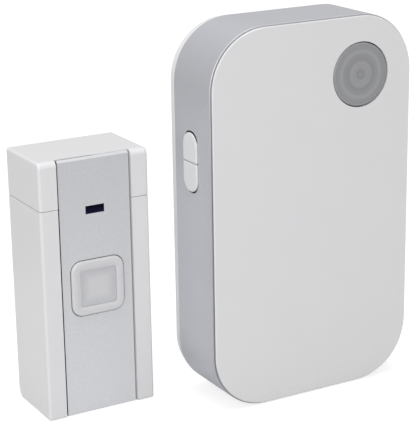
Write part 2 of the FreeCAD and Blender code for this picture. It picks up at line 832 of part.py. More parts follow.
def make_signal_light():
    """Clear round lens with rings on its back, the white cup behind it and three lights."""
    lens = new_body("chime_lens", "chime")
    disc = draw(lens, "XZ", "0")
    circle(disc, "lens_x", "lens_z", "lens_radius")
    grow(lens, disc, "face_wall")
    doc.recompute()
    soften(lens, edges_at(lens, "y", "0"), "lens_edge_round")
    flange = draw(lens, "XZ", "face_wall")
    circle(flange, "lens_x", "lens_z", "lens_radius + lens_flange")
    grow(lens, flange, "lens_flange_wall")
    for turn in (1, 2, 3):
        groove = draw(lens, "XZ", "lens_back - lens_ring_depth")
        circle(groove, "lens_x", "lens_z", f"{turn} * lens_ring_pitch")
        circle(groove, "lens_x", "lens_z", f"{turn} * lens_ring_pitch + lens_ring_width")
        cut(lens, groove, "lens_flange_wall")
    place = ("lens_x", "lens_back", "lens_z")
    depth = "board_front - lens_back"
    shell = rod("cup_outside", "chime", "y", place, depth, "lens_radius + cup_wall")
    bowl = taper("cup_inside", "chime", "y", place, depth, "lens_radius", "cup_floor_radius")
    keep(subtract("chime_light_cup", shell, bowl), "chime_light_cup")
    lights = []
    for number, (across, up) in enumerate((("-1", "-0.5"), ("1", "-0.5"), ("0", "1"))):
        x_middle = f"(lens_x + {across} * light_spread)"
        z_middle = f"(lens_z + {up} * light_spread)"
        lights.append(block(f"light_{number}", "chime",
                            (f"{x_middle} - light_size / 2", f"{x_middle} + light_size / 2"),
                            ("board_front - light_wall", "board_front"),
                            (f"{z_middle} - light_size / 2", f"{z_middle} + light_size / 2")))
    group("chime_lights", lights)


def make_chime_board():
    """Circuit board notched round the battery bay, with its chip, crystal and coiled aerial."""
    board = new_body("chime_circuit_board", "chime")
    plate = draw(board, "XZ", "board_front")
    outline(plate, "-board_side", "board_side", "board_low", "board_top", "board_low_corner", "board_corner")
    grow(board, plate, "board_wall")
    notch = draw(board, "XZ", "board_front")
    outline(notch, "-bay_side - bay_wall - board_bay_gap", "bay_side + bay_wall + board_bay_gap",
            "board_low - board_leg", "bay_top + bay_wall + board_bay_gap")
    cut(board, notch, "board_wall")
    holes = draw(board, "XZ", "board_front")
    for across, up in SCREW_SPOTS[:2] + POST_SPOTS:
        circle(holes, across, up, "screw_radius + screw_hole_gap")
    cut(board, holes, "board_wall")
    chip = block("chime_controller_chip", "chime",
                 ("-chip_offset - chip_size / 2", "-chip_offset + chip_size / 2"),
                 ("board_front - chip_wall", "board_front"),
                 ("board_top - chip_drop - chip_size / 2", "board_top - chip_drop + chip_size / 2"))
    keep(chip, "chime_controller_chip")
    crystal = new_body("chime_crystal", "chime")
    can = draw(crystal, "XZ", "board_front - crystal_height")
    outline(can, "crystal_offset - crystal_length / 2", "crystal_offset + crystal_length / 2",
            "board_top - crystal_drop - crystal_width / 2", "board_top - crystal_drop + crystal_width / 2",
            "crystal_width / 2.1", "crystal_width / 2.1")
    grow(crystal, can, "crystal_height")
    place = ("-aerial_offset", "board_front - aerial_radius - 2 * aerial_wire", "board_top - aerial_drop")
    aerial = coil("chime_aerial", "chime", place,
                  "aerial_radius", "aerial_wire", "aerial_pitch", "aerial_turns")
    keep(aerial, "chime_aerial")


def make_speaker():
    """Loudspeaker seated in the back cover's ring: basket with flange, paper cone and magnet."""
    x_place = "-speaker_offset"
    flange = rod("speaker_flange_disc", "chime", "y", (x_place, "flange_front", "speaker_z"),
                 "speaker_flange_wall", "speaker_radius")
    basket = taper("speaker_basket", "chime", "y", (x_place, "basket_front", "speaker_z"),
                   "speaker_basket_depth", "magnet_radius", "speaker_radius - speaker_basket_wall")
    inner_back = "(speaker_radius - 2 * speaker_basket_wall)"
    hollow = taper("speaker_hollow", "chime", "y",
                   (x_place, "basket_front + speaker_basket_wall", "speaker_z"),
                   "speaker_basket_depth - speaker_basket_wall", "magnet_radius - speaker_basket_wall",
                   inner_back)
    mouth = rod("speaker_mouth", "chime", "y", (x_place, "flange_front", "speaker_z"),
                "speaker_flange_wall", "flange_hole")
    frame = subtract("speaker_frame", fuse("speaker_solid", [flange, basket]),
                     fuse("speaker_space", [hollow, mouth]))
    keep(frame, "speaker_frame")
    cone_front = "(back_inside - cone_depth - cone_wall)"
    outside = taper("cone_outside", "chime", "y", (x_place, cone_front, "speaker_z"),
                    "cone_depth", "cone_throat", "flange_hole - cone_gap")
    inside = taper("cone_inside", "chime", "y", (x_place, f"{cone_front} + cone_wall", "speaker_z"),
                   "cone_depth", "cone_throat", "flange_hole - cone_gap")
    keep(subtract("speaker_cone", outside, inside), "speaker_cone")
    magnet = rod("speaker_magnet", "chime", "y", (x_place, "basket_front - magnet_depth", "speaker_z"),
                 "magnet_depth", "magnet_radius")
    keep(magnet, "speaker_magnet")


def make_screws():
    """Housing screws from the back, and the two that hold the board to its posts."""
    housing, board = [], []
    for number, (across, up) in enumerate(SCREW_SPOTS):
        tip = "(board_front - screw_bite + screw_tip_room)"
        head = rod(f"housing_head_{number}", "chime", "y", (across, "screw_seat", up),
                   "screw_head_wall", "screw_head_radius")
        shaft = rod(f"housing_shaft_{number}", "chime", "y", (across, tip, up),
                    f"screw_seat - {tip}", "screw_radius")
        housing.append(fuse(f"housing_screw_{number}", [head, shaft]))
    for number, (across, up) in enumerate(POST_SPOTS):
        tip = "(board_front - screw_bite + screw_tip_room)"
        head = rod(f"board_head_{number}", "chime", "y", (across, "board_back", up),
                   "screw_head_wall", "screw_head_radius")
        shaft = rod(f"board_shaft_{number}", "chime", "y", (across, tip, up),
                    f"board_back - {tip}", "screw_radius")
        board.append(fuse(f"board_screw_{number}", [head, shaft]))
    group("housing_screws", housing)
    group("chime_board_screws", board)


# Chime: cells and contacts

def make_cells():
    """Three cells side by side, the middle one turned over, with springs and contact plates."""
    cells, springs, plates = [], [], []
    low = "(bay_rise + contact_wall)"
    high = "(bay_top - contact_wall)"
    rows = (("-cell_spacing", True), ("0", False), ("cell_spacing", True))
    for number, (across, upright) in enumerate(rows):
        body_low = f"({low} + spring_room)" if upright else f"({low} + cell_tip)"
        tip_low = f"({high} - cell_tip)" if upright else low
        can = rod(f"cell_can_{number}", "chime", "z", (across, "cell_y", body_low),
                  "cell_length", "cell_radius")
        tip = rod(f"cell_tip_{number}", "chime", "z", (across, "cell_y", tip_low),
                  "cell_tip", "cell_tip_radius")
        cells.append(fuse(f"cell_{number}", [can, tip]))
        spring_low = low if upright else f"({high} - spring_room)"
        pitch = "(spring_room - 2 * spring_wire - 2 * touch_gap) / spring_turns"
        springs.append(coil(f"spring_{number}", "chime",
                            (across, "cell_y", f"{spring_low} + spring_wire + touch_gap"),
                            "spring_radius", "spring_wire", pitch, "spring_turns"))
    half = "contact_size / 2"
    depth = (f"cell_y - {half}", f"cell_y + {half}")
    spans = [
        (f"-cell_spacing - {half}", half, "bay_rise", low),
        (f"cell_spacing - {half}", f"cell_spacing + {half}", "bay_rise", low),
        (f"-cell_spacing - {half}", f"-cell_spacing + {half}", high, "bay_top"),
        (f"-{half}", f"cell_spacing + {half}", high, "bay_top"),
    ]
    for number, (left, right, bottom, top) in enumerate(spans):
        plates.append(block(f"contact_{number}", "chime", (left, right), depth, (bottom, top)))
    group("aa_cells", cells)
    group("cell_springs", springs)
    group("cell_contact_plates", plates)


# Chime: the two volume keys and their switches

def make_volume_key(name, sign):
    """One half of the oblong pair, with its switch body and sliding stem inside."""
    near = f"(key_middle {sign} key_split / 2)"
    far = f"(key_middle {sign} key_height / 2)"
    wide = f"(key_middle {sign} (key_height / 2 + key_flange))"
    centre = f"(key_middle {sign} key_centre_rise)"
    upper = sign == "+"
    low, high = (near, far) if upper else (far, near)
    wide_low, wide_high = (near, wide) if upper else (wide, near)
    radii = ["key_split_corner", "key_corner"] if upper else ["key_corner", "key_split_corner"]
    wide_radii = [None, "key_corner + key_flange"] if upper else ["key_corner + key_flange", None]
    key = new_body(f"{name}_button", "chime")
    face = draw(key, "YZ", "-chime_side - key_proud")
    outline(face, "key_depth_place - key_width / 2", "key_depth_place + key_width / 2", low, high, *radii)
    grow(key, face, "key_flange_back + chime_side + key_proud")
    doc.recompute()
    soften(key, edges_at(key, "x", "-chime_side - key_proud"), "key_edge_round")
    flange = draw(key, "YZ", "key_flange_face")
    outline(flange, "key_depth_place - key_width / 2 - key_flange",
            "key_depth_place + key_width / 2 + key_flange", wide_low, wide_high, *wide_radii)
    grow(key, flange, "key_flange_wall")
    nub = draw(key, "YZ", "key_flange_back")
    circle(nub, "key_depth_place", centre, "key_nub_radius")
    grow(key, nub, "key_nub")
    housing = block(f"{name}_housing", "chime",
                    ("side_switch_face", "side_switch_face + switch_wall"),
                    ("board_back", "board_back + switch_size"),
                    (f"{centre} - switch_size / 2", f"{centre} + switch_size / 2"))
    bore = rod(f"{name}_bore", "chime", "x", ("side_switch_face", "key_depth_place", centre),
               "stem_inside + key_travel + stem_spare", "stem_radius + stem_bore_gap")
    keep(subtract(f"{name}_switch", housing, bore), f"{name}_switch")
    stem = rod(f"{name}_stem", "chime", "x", ("side_stem_tip", "key_depth_place", centre),
               "stem_proud + stem_inside", "stem_radius")
    keep(stem, f"{name}_stem")


# Bell push: cover, hood, strip and window, which come off together

def cut_channel(body, low, high):
    """Cut the shallow channel that the silver strip lies in, from one height to another."""
    channel = draw(body, "XZ", "0")
    outline(channel, "-channel_side", "channel_side", low, high)
    cut(body, channel, "strip_back")


def cut_peg_holes(body, up):
    """Cut the pair of holes that the strip's pegs go through."""
    holes = draw(body, "XZ", "strip_back")
    for side in ("-", ""):
        circle(holes, f"{side}peg_spread / 2", up, "peg_radius + peg_gap")
    cut(body, holes, "push_wall")


def make_push_cover():
    """White lower shell: open at the back and at the top, where the hood goes on."""
    cover = new_body("push_cover", "push")
    block_face = draw(cover, "XZ", "0")
    outline(block_face, "-push_side", "push_side", "0", "seam_rise")
    grow(cover, block_face, "push_depth")
    doc.recompute()
    upright = value("seam_rise / 2")
    sides = edges_at(cover, "y", "0", lambda middle: abs(middle.z - upright) < 1e-5)
    soften(cover, sides, "push_edge_round")
    top_edge = edges_at(cover, "z", "seam_rise", lambda middle: abs(middle.y) < 1e-5)
    soften(cover, top_edge, "seam_bevel", "Chamfer")
    rear = value("push_depth") - 1
    soften(cover, edges_at(cover, "z", "0", lambda middle: middle.y < rear), "push_foot_round")
    heel = draw(cover, "YZ", "-push_width")
    corner_cut(heel, "push_depth", "push_heel_round")
    cut(cover, heel, "2 * push_width")
    hollow = draw(cover, "XZ", "front_wall")
    outline(hollow, "push_wall - push_side", "push_side - push_wall", "push_wall", "seam_rise + push_wall")
    cut(cover, hollow, "heel_start - front_wall")
    mouth = draw(cover, "XZ", "heel_start")
    outline(mouth, "push_wall - push_side", "push_side - push_wall", "heel_wall", "seam_rise + push_wall")
    cut(cover, mouth, "2 * heel_depth")
    cut_channel(cover, "-push_wall", "seam_rise + push_wall")
    openings = draw(cover, "XZ", "strip_back")
    button_outline(openings, "button_gap")
    outline(openings, "-pipe_width / 2 - window_gap", "pipe_width / 2 + window_gap",
            "window_rise - pipe_height / 2 - window_gap", "window_rise + pipe_height / 2 + window_gap")
    cut(cover, openings, "push_wall")
    cut_peg_holes(cover, "peg_end_inset")


def corner_cut(drawing, across, radius):
    """Draw the waste outside a round lower corner whose sharp point is at a place and height zero."""
    edge, reach = value(across), value(radius)
    centre = FreeCAD.Vector(edge - reach, reach, 0)
    point = FreeCAD.Vector(edge, 0, 0)
    floor = drawing.addGeometry(Part.LineSegment(FreeCAD.Vector(edge - reach, 0, 0), point))
    wall = drawing.addGeometry(Part.LineSegment(point, FreeCAD.Vector(edge, reach, 0)))
    ring = Part.Circle(centre, FreeCAD.Vector(0, 0, 1), reach)
    arc = drawing.addGeometry(Part.ArcOfCircle(ring, -math.pi / 2, 0))
    drawing.addConstraint(Sketcher.Constraint("Horizontal", floor))
    drawing.addConstraint(Sketcher.Constraint("Vertical", wall))
    drawing.addConstraint(Sketcher.Constraint("Coincident", floor, 2, wall, 1))
    drawing.addConstraint(Sketcher.Constraint("Tangent", floor, 1, arc, 1))
    drawing.addConstraint(Sketcher.Constraint("Tangent", wall, 2, arc, 2))
    hold(drawing, "Radius", (arc,), radius)
    hold(drawing, "DistanceX", (-1, 1, floor, 2), across)
    hold(drawing, "DistanceY", (-1, 1, floor, 2), "0")


def button_outline(drawing, margin):
    """Draw the bell button's outline, grown by a margin."""
    outline(drawing, f"-button_width / 2 - {margin}", f"button_width / 2 + {margin}",
            f"button_rise - button_height / 2 - {margin}", f"button_rise + button_height / 2 + {margin}",
            f"button_corner + {margin}", f"button_corner + {margin}")


def make_push_hood():
    """White top piece that closes the push above the seam."""
    hood = new_body("push_top_hood", "push")
    block_face = draw(hood, "XZ", "0")
    outline(block_face, "-push_side", "push_side", "seam_rise", "push_height")
    grow(hood, block_face, "push_depth")
    doc.recompute()
    brow = edges_at(hood, "z", "push_height", lambda middle: abs(middle.y) < 1e-5)
    soften(hood, brow, "push_brow_round")
    edge = value("push_side")
    sides = [edges_at(hood, "y", "0", lambda middle: abs(abs(middle.x) - edge) < 1e-5),
             edges_at(hood, "z", "push_height", lambda middle: abs(abs(middle.x) - edge) < 1e-5)]
    soften(hood, sides[0] + sides[1], "push_edge_round")
    low_edge = edges_at(hood, "z", "seam_rise", lambda middle: abs(middle.y) < 1e-5)
    soften(hood, low_edge, "seam_bevel", "Chamfer")
    hollow = draw(hood, "XZ", "front_wall")
    outline(hollow, "push_wall - push_side", "push_side - push_wall", "seam_rise - push_wall",
            "push_height - push_wall")
    cut(hood, hollow, "push_depth")
    cut_channel(hood, "seam_rise - push_wall", "push_height + push_wall")
    cut_peg_holes(hood, "push_height - peg_end_inset")


def make_strip():
    """Silver strip with its bevelled top, the two openings and four pegs behind."""
    strip = new_body("push_silver_strip", "push")
    face = draw(strip, "XZ", "strip_sink")
    outline(face, "-strip_width / 2", "strip_width / 2", "strip_end_gap", "push_height - strip_end_gap")
    grow(strip, face, "strip_wall")
    doc.recompute()
    front = value("strip_sink") + 1e-5
    top_edge = edges_at(strip, "z", "push_height - strip_end_gap", lambda middle: middle.y < front)
    soften(strip, top_edge, "strip_bevel", "Chamfer")
    openings = draw(strip, "XZ", "strip_sink")
    button_outline(openings, "button_gap")
    outline(openings, "-window_width / 2 - window_gap", "window_width / 2 + window_gap",
            "window_rise - window_height / 2 - window_gap", "window_rise + window_height / 2 + window_gap")
    cut(strip, openings, "strip_wall")
    pegs = draw(strip, "XZ", "strip_back")
    for side in ("-", ""):
        for up in ("peg_end_inset", "push_height - peg_end_inset"):
            circle(pegs, f"{side}peg_spread / 2", up, "peg_radius")
    grow(strip, pegs, "push_wall")
    window = new_body("push_indicator_window", "push")
    head = draw(window, "XZ", "strip_sink")
    outline(head, "-window_width / 2", "window_width / 2",
            "window_rise - window_height / 2", "window_rise + window_height / 2")
    grow(window, head, "strip_wall")
    pipe = draw(window, "XZ", "strip_back")
    outline(pipe, "-pipe_width / 2", "pipe_width / 2",
            "window_rise - pipe_height / 2", "window_rise + pipe_height / 2")
    grow(window, pipe, "lamp_front - pipe_end_gap - strip_back")


def make_bell_button():
    """Clear square button with a flange behind the wall, a nub for the switch and an inner pad."""
    button = new_body("bell_button", "push")
    face = draw(button, "XZ", "button_front")
    button_outline(face, "0")
    grow(button, face, "button_back - button_front")
    doc.recompute()
    soften(button, edges_at(button, "y", "button_front"), "button_edge_round")
    flange = draw(button, "XZ", "button_flange_front")
    button_outline(flange, "button_flange")
    grow(button, flange, "button_flange_wall")
    nub = draw(button, "XZ", "button_back")
    circle(nub, "0", "button_rise", "button_nub_radius")
    grow(button, nub, "button_nub_end - button_back")
    recess = draw(button, "XZ", "button_front")
    pad_outline(recess, "pad_gap")
    cut(button, recess, "pad_depth")
    pad = new_body("bell_button_inlay", "push")
    pad_face = draw(pad, "XZ", "button_front + pad_dish")
    pad_outline(pad_face, "0")
    grow(pad, pad_face, "pad_depth - pad_dish")


def pad_outline(drawing, margin):
    """Draw the inner pad's outline, grown by a margin."""
    outline(drawing, f"-pad_width / 2 - {margin}", f"pad_width / 2 + {margin}",
            f"button_rise - pad_height / 2 - {margin}", f"button_rise + pad_height / 2 + {margin}",
            "pad_corner", "pad_corner")


# Bell push: the base that goes on the wall, and what it carries

PUSH_POSTS = [(side + "push_post_x", up) for side in ("-", "") for up in ("push_post_low", "push_post_top")]


def make_push_base():
    """Tray with two countersunk wall holes and four posts for the board."""
    base = new_body("push_base", "push")
    tray = draw(base, "XZ", "base_front")
    outline(tray, "-base_side", "base_side", "base_low", "base_top", "base_corner", "base_corner")
    grow(base, tray, "base_depth")
    hollow = draw(base, "XZ", "base_front")
    outline(hollow, "base_rim_wall - base_side", "base_side - base_rim_wall",
            "base_low + base_rim_wall", "base_top - base_rim_wall")
    cut(base, hollow, "base_depth - base_plate")
    posts = draw(base, "XZ", "push_board_back")
    pilots = draw(base, "XZ", "push_board_back")
    for across, up in PUSH_POSTS:
        circle(posts, across, up, "push_post_radius")
        circle(pilots, across, up, "screw_radius + screw_hole_gap")
    grow(base, posts, "plate_front - push_board_back")
    cut(base, pilots, "screw_bite")
    holes = draw(base, "XZ", "plate_front")
    sinks = draw(base, "XZ", "plate_front")
    for up in ("wall_hole_low_rise", "wall_hole_top"):
        circle(holes, "0", up, "wall_hole_radius")
        circle(sinks, "0", up, "wall_sink_radius")
    cut(base, holes, "2 * base_plate")
    cut(base, sinks, "wall_sink_depth")


def make_push_board():
    """Board of the push with its screws, switch, lamp, chip and resonator."""
    board = new_body("push_circuit_board", "push")
    plate = draw(board, "XZ", "push_board_depth_place")
    outline(plate, "-push_board_side", "push_board_side", "push_board_low", "push_board_top")
    grow(board, plate, "board_wall")
    holes = draw(board, "XZ", "push_board_depth_place")
    screws = []
    for number, (across, up) in enumerate(PUSH_POSTS):
        circle(holes, across, up, "screw_radius + screw_hole_gap")
        head = rod(f"push_head_{number}", "push", "y",
                   (across, "push_board_depth_place - screw_head_wall", up),
                   "screw_head_wall", "screw_head_radius")
        shaft = rod(f"push_shaft_{number}", "push", "y", (across, "push_board_depth_place", up),
                    "board_wall + screw_bite - screw_tip_room", "screw_radius")
        screws.append(fuse(f"push_screw_{number}", [head, shaft]))
    cut(board, holes, "board_wall")
    group("push_board_screws", screws)
    housing = block("push_switch_housing", "push", ("-switch_size / 2", "switch_size / 2"),
                    ("push_switch_face", "push_board_depth_place"),
                    ("button_rise - switch_size / 2", "button_rise + switch_size / 2"))
    bore = rod("push_switch_bore", "push", "y", ("0", "push_switch_face", "button_rise"),
               "stem_inside + button_travel + stem_spare", "stem_radius + stem_bore_gap")
    keep(subtract("push_switch", housing, bore), "push_switch")
    stem = rod("push_stem", "push", "y", ("0", "push_stem_tip", "button_rise"),
               "stem_proud + stem_inside", "stem_radius")
    keep(stem, "push_stem")
    lamp = block("push_lamp", "push", ("-lamp_width / 2", "lamp_width / 2"),
                 ("lamp_front", "push_board_depth_place"),
                 ("window_rise - lamp_height / 2", "window_rise + lamp_height / 2"))
    keep(lamp, "push_lamp")
    chip_z = "(button_rise + push_chip_rise)"
    chip = block("push_chip", "push",
                 ("-small_offset - push_chip_size / 2", "-small_offset + push_chip_size / 2"),
                 ("push_board_depth_place - push_chip_wall", "push_board_depth_place"),
                 (f"{chip_z} - push_chip_size / 2", f"{chip_z} + push_chip_size / 2"))
    keep(chip, "push_chip")
    can = rod("push_resonator", "push", "y",
              ("small_offset", "push_board_depth_place - resonator_height", "button_rise + resonator_rise"),
              "resonator_height", "resonator_radius")
    keep(can, "push_resonator")


def make_coin_cell():
    """Coin cell on its contact plate, under a bent metal strap."""
    cell = rod("coin_cell", "push", "y", ("0", "coin_front", "coin_z"), "coin_wall", "coin_radius")
    keep(cell, "coin_cell")
    half = "clip_width / 2"
    span = (f"coin_z - {half}", f"coin_z + {half}")
    contact = block("coin_contact", "push", (f"-{half}", half), ("coin_back", "push_board_depth_place"), span)
    keep(contact, "coin_contact")
    inner = "(coin_radius + clip_wall)"
    strap_front = "(coin_front - touch_gap - clip_wall)"
    strap = block("clip_strap", "push", (f"-{inner} - clip_wall", f"{inner} + clip_wall"),
                  (strap_front, f"{strap_front} + clip_wall"), span)
    legs = []
    for name, sign in (("left", "-"), ("right", "")):
        near, far = f"{sign}{inner}", f"{sign}({inner} + clip_wall)"
        toe = f"{sign}({inner} + clip_foot)"
        leg_range = (far, near) if sign else (near, far)
        foot_range = (toe, near) if sign else (near, toe)
        legs.append(block(f"clip_leg_{name}", "push", leg_range,
                          (strap_front, "push_board_depth_place"), span))
        legs.append(block(f"clip_foot_{name}", "push", foot_range,
                          ("push_board_depth_place - clip_wall", "push_board_depth_place"), span))
    keep(fuse("coin_cell_clip", [strap] + legs), "coin_cell_clip")


# The whole set

make_front_cover()
make_side_band()
make_back_cover()
make_battery_door()
make_signal_light()
make_chime_board()
make_speaker()
make_screws()
make_cells()
make_volume_key("volume_up", "+")
make_volume_key("volume_down", "-")
make_push_cover()
make_push_hood()
make_strip()
make_bell_button()
make_push_base()
make_push_board()
make_coin_cell()
doc.recompute()

for item in doc.Objects:
    if "Invalid" in item.State or "Error" in item.State:
        raise ValueError(f"{item.Label} could not be worked out: {item.State}")
for item in sub_parts:
    if item.Shape.isNull() or not item.Shape.isValid():
        raise ValueError(f"{item.Label} has no valid shape")

os.makedirs("parts", exist_ok=True)
for item in sub_parts:
    item.Shape.exportStep(f"parts/{item.Label}.step")
    print(item.Label, len(item.Shape.Solids), "solid(s)", round(item.Shape.Volume, 1))
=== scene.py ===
import math

import bmesh
import bpy
import numpy as np
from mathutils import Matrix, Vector


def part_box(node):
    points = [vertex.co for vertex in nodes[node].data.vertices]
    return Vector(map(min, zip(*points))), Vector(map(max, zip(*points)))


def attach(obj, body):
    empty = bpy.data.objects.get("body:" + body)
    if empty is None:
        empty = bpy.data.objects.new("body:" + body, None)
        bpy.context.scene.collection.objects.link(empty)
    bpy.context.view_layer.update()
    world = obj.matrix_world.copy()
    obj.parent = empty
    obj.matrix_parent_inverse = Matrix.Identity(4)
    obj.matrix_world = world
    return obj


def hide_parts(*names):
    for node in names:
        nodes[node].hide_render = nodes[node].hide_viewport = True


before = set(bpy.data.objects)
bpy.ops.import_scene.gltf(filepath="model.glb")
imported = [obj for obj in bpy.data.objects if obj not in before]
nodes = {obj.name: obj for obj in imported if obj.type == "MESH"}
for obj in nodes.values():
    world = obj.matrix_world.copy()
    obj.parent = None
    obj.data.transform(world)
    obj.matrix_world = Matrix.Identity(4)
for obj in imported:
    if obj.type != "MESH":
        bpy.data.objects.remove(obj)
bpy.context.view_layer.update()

# White shells: the chime's front cover, back cover and battery door, and the push's base. They are
# injection-moulded ABS with a fine even grain under a satin gloss; the back cover and battery door use a
# lighter copy of the white, which is painted light. They nest in each other and are screwed from behind.

BUMP_STRENGTH = 0.6
DRIFTS_PER_METRE = 60.0


def new_material(name, colour, roughness):
    """Make a material with one Principled shader and return the material, its tree and the shader."""
    material = bpy.data.materials.new(name)
    material.use_nodes = True
    tree = material.node_tree
    shader = tree.nodes["Principled BSDF"]
    shader.inputs["Base Color"].default_value = colour
    shader.inputs["Roughness"].default_value = roughness
    return material, tree, shader


def new_group(name, inputs, outputs):
    """Start a node group from (name, default) inputs and (name, kind) outputs, where a kind is Color or
    Float."""
    group = bpy.data.node_groups.new(name, "ShaderNodeTree")
    for label, default in inputs:
        length = len(default) if isinstance(default, tuple) else 1
        kind = {1: "NodeSocketFloat", 3: "NodeSocketVector", 4: "NodeSocketColor"}[length]
        socket = group.interface.new_socket(label, in_out="INPUT", socket_type=kind)
        socket.default_value = default
    for label, kind in outputs:
        group.interface.new_socket(label, in_out="OUTPUT", socket_type="NodeSocket" + kind)
    start = group.nodes.new("NodeGroupInput")
    end = group.nodes.new("NodeGroupOutput")
    return group, start, end


def place_group(tree, group, **values):
    """Put a group into a material with its own values; an underscore stands for a space."""
    node = tree.nodes.new("ShaderNodeGroup")
    node.node_tree = group
    for label, number in values.items():
        node.inputs[label.replace("_", " ")].default_value = number
    return node


def dress(material, *names):
    """Give CAD nodes a finished material in every slot."""
    for name in names:
        for slot in nodes[name].material_slots:
            slot.material = material


def feed(tree, socket, given):
    """Set a socket to a value, or link an output to it."""
    if isinstance(given, bpy.types.NodeSocket):
        tree.links.new(given, socket)
    else:
        socket.default_value = given


def ramp(tree, value, start=0.0, stop=1.0, low=0.0, high=1.0, way="LINEAR"):
    """Bring a value that runs from start to stop to one that runs from low to high."""
    node = tree.nodes.new("ShaderNodeMapRange")
    node.interpolation_type = way
    for socket, given in zip(("Value", "From Min", "From Max", "To Min", "To Max"),
                             (value, start, stop, low, high)):
        feed(tree, node.inputs[socket], given)
    return node.outputs["Result"]


def mixed(tree, factor, first, second, way="MIX"):
    """Mix two colours, each given as a value or an output."""
    node = tree.nodes.new("ShaderNodeMix")
    node.data_type = "RGBA"
    node.blend_type = way
    for socket, given in (("Factor", factor), ("A", first), ("B", second)):
        feed(tree, node.inputs[socket], given)
    return node.outputs["Result"]


def place_on(tree, source="Object"):
    """Where the shaded point lies on the piece's own axes, or with Normal which way it faces there."""
    return tree.nodes.new("ShaderNodeTexCoord").outputs[source]


def noise(tree, scale, detail=2.0, roughness=0.5, place=None):
    """Noise from 0 to 1, on the piece's own coordinates where no place is given."""
    texture = tree.nodes.new("ShaderNodeTexNoise")
    place = place_on(tree) if place is None else place
    for socket, given in (("Vector", place), ("Scale", scale),
                          ("Detail", detail), ("Roughness", roughness)):
        feed(tree, texture.inputs[socket], given)
    return texture.outputs["Fac"]


def surface_group(name, extra):
    """Start a group that has one input of its own, two tones and two glosses."""
    return new_group(
        name, [extra, ("Tone Low", (0.5, 0.5, 0.5, 1.0)), ("Tone High", (0.6, 0.6, 0.6, 1.0)),
               ("Gloss Low", 0.3), ("Gloss High", 0.4)],
        [("Color", "Color"), ("Roughness", "Float"), ("Height", "Float")])


def end_surface(group, start, end, tone, gloss, height):
    """Let two shares choose between the group's tones and glosses, and put out these and the height."""
    tone = mixed(group, tone, start.outputs["Tone Low"], start.outputs["Tone High"])
    gloss = ramp(group, gloss, low=start.outputs["Gloss Low"], high=start.outputs["Gloss High"])
    for socket, given in (("Color", tone), ("Roughness", gloss), ("Height", height)):
        feed(group, end.inputs[socket], given)
    return group


def moulded_grain():
    """Group: fine noise is the tool's grain, which also varies the gloss, and broad noise lets the tone
    drift."""
    group, start, end = surface_group("moulded_grain", ("Grains per Metre", 2900.0))
    fine = noise(group, start.outputs["Grains per Metre"], 2.0, 0.6)
    return end_surface(group, start, end, noise(group, DRIFTS_PER_METRE, 3.0), fine, fine)


grain_group = moulded_grain()


def raise_surface(tree, shader, height, distance):
    """Let a height lift the surface by a distance in metres."""
    bump = tree.nodes.new("ShaderNodeBump")
    bump.inputs["Distance"].default_value = distance
    bump.inputs["Strength"].default_value = BUMP_STRENGTH
    tree.links.new(height, bump.inputs["Height"])
    tree.links.new(bump.outputs["Normal"], shader.inputs["Normal"])


def surfaced(name, group, metallic, low, high, gloss, depth, **values):
    """Make a material whose shader takes its colour and roughness from a surface group, and where a
    depth is given its relief too."""
    material, tree, shader = new_material(name, low, gloss[0])
    shader.inputs["Metallic"].default_value = metallic
    node = place_group(tree, group, Tone_Low=low, Tone_High=high, Gloss_Low=gloss[0], Gloss_High=gloss[1],
                       **values)
    tree.links.new(node.outputs["Color"], shader.inputs["Base Color"])
    tree.links.new(node.outputs["Roughness"], shader.inputs["Roughness"])
    if depth:
        raise_surface(tree, shader, node.outputs["Height"], depth)
    return material, tree, shader, node


def grained_plastic(name, low, high, gloss_low, gloss_high, grains=2900.0, depth=0.00001):
    """Moulded plastic: tone and gloss wander slightly, and the grain lifts the surface a little."""
    return surfaced(name, grain_group, 0.0, low, high, (gloss_low, gloss_high), depth,
                    Grains_per_Metre=grains)


shell_white = grained_plastic("white_abs", (0.733, 0.733, 0.743, 1), (0.75, 0.75, 0.76, 1), 0.3, 0.42)[0]
dress(shell_white, "chime_front_cover", "push_base")
# Painted light: the back cover and battery door are a lighter copy of the same white.
back_white_painted_light = grained_plastic("back_abs", (0.82, 0.82, 0.83, 1), (0.84, 0.84, 0.85, 1), 0.3, 0.42)[0]
dress(back_white_painted_light, "chime_back_cover", "battery_door")

# Silver trim: the band round the chime and the strip down the push. They are moulded in grey ABS and
# sprayed with a fine aluminium-flake lacquer, satin with a soft sparkle up close. Painted light makes the
# band lighter low towards its back and the strip lighter low and darker at its top, and painted shade
# darkens the band's front edge, the walls of its key opening and the strip's left flank, where they face a
# gap.

FLAKE_TILT = 0.25
PEELS_PER_METRE = 700.0
LACQUER_RELIEF = 0.000004
LACQUER_GLOSS = (0.42, 0.55)
GAP_DEPTH = 0.0004
# Painted shade, near black, for surfaces deep in a gap.
GAP_SHADE = (0.03, 0.03, 0.032, 1)
# Painted shade for edges and flanks that face a gap, from near black to mid grey.
EDGE_PAINTED_SHADE = (0.3, 0.3, 0.315, 1)
EDGE_PAINTED_SHADE_LOW = (0.4, 0.4, 0.415, 1)
EDGE_PAINTED_SHADE_TOP = (0.52, 0.52, 0.54, 1)
FLANK_PAINTED_SHADE = (0.02, 0.02, 0.022, 1)
PLAIN = (1.0, 1.0, 1.0, 1)
# Painted light for the band, low down towards its back.
BAND_PAINTED_LIGHT = (1.16, 1.16, 1.15, 1)
BAND_LIGHT_LOW, BAND_LIGHT_TOP, BAND_LIGHT_FADE = 0.2, 0.55, 0.15
BAND_PALE_LOW, BAND_PALE_TOP = 0.6, 0.85
BAND_SLOPE = (0.35, 0.65)
OPENING_SLOPE = (0.7, 0.5)
# Painted light and shade that make the strip lighter at its foot and darker at its top.
STRIP_FOOT_PAINTED_LIGHT = (1.14, 1.14, 1.14, 1)
STRIP_TOP_PAINTED_SHADE = (0.93, 0.93, 0.93, 1)
STRIP_SLOPE = (0.2, 0.4)


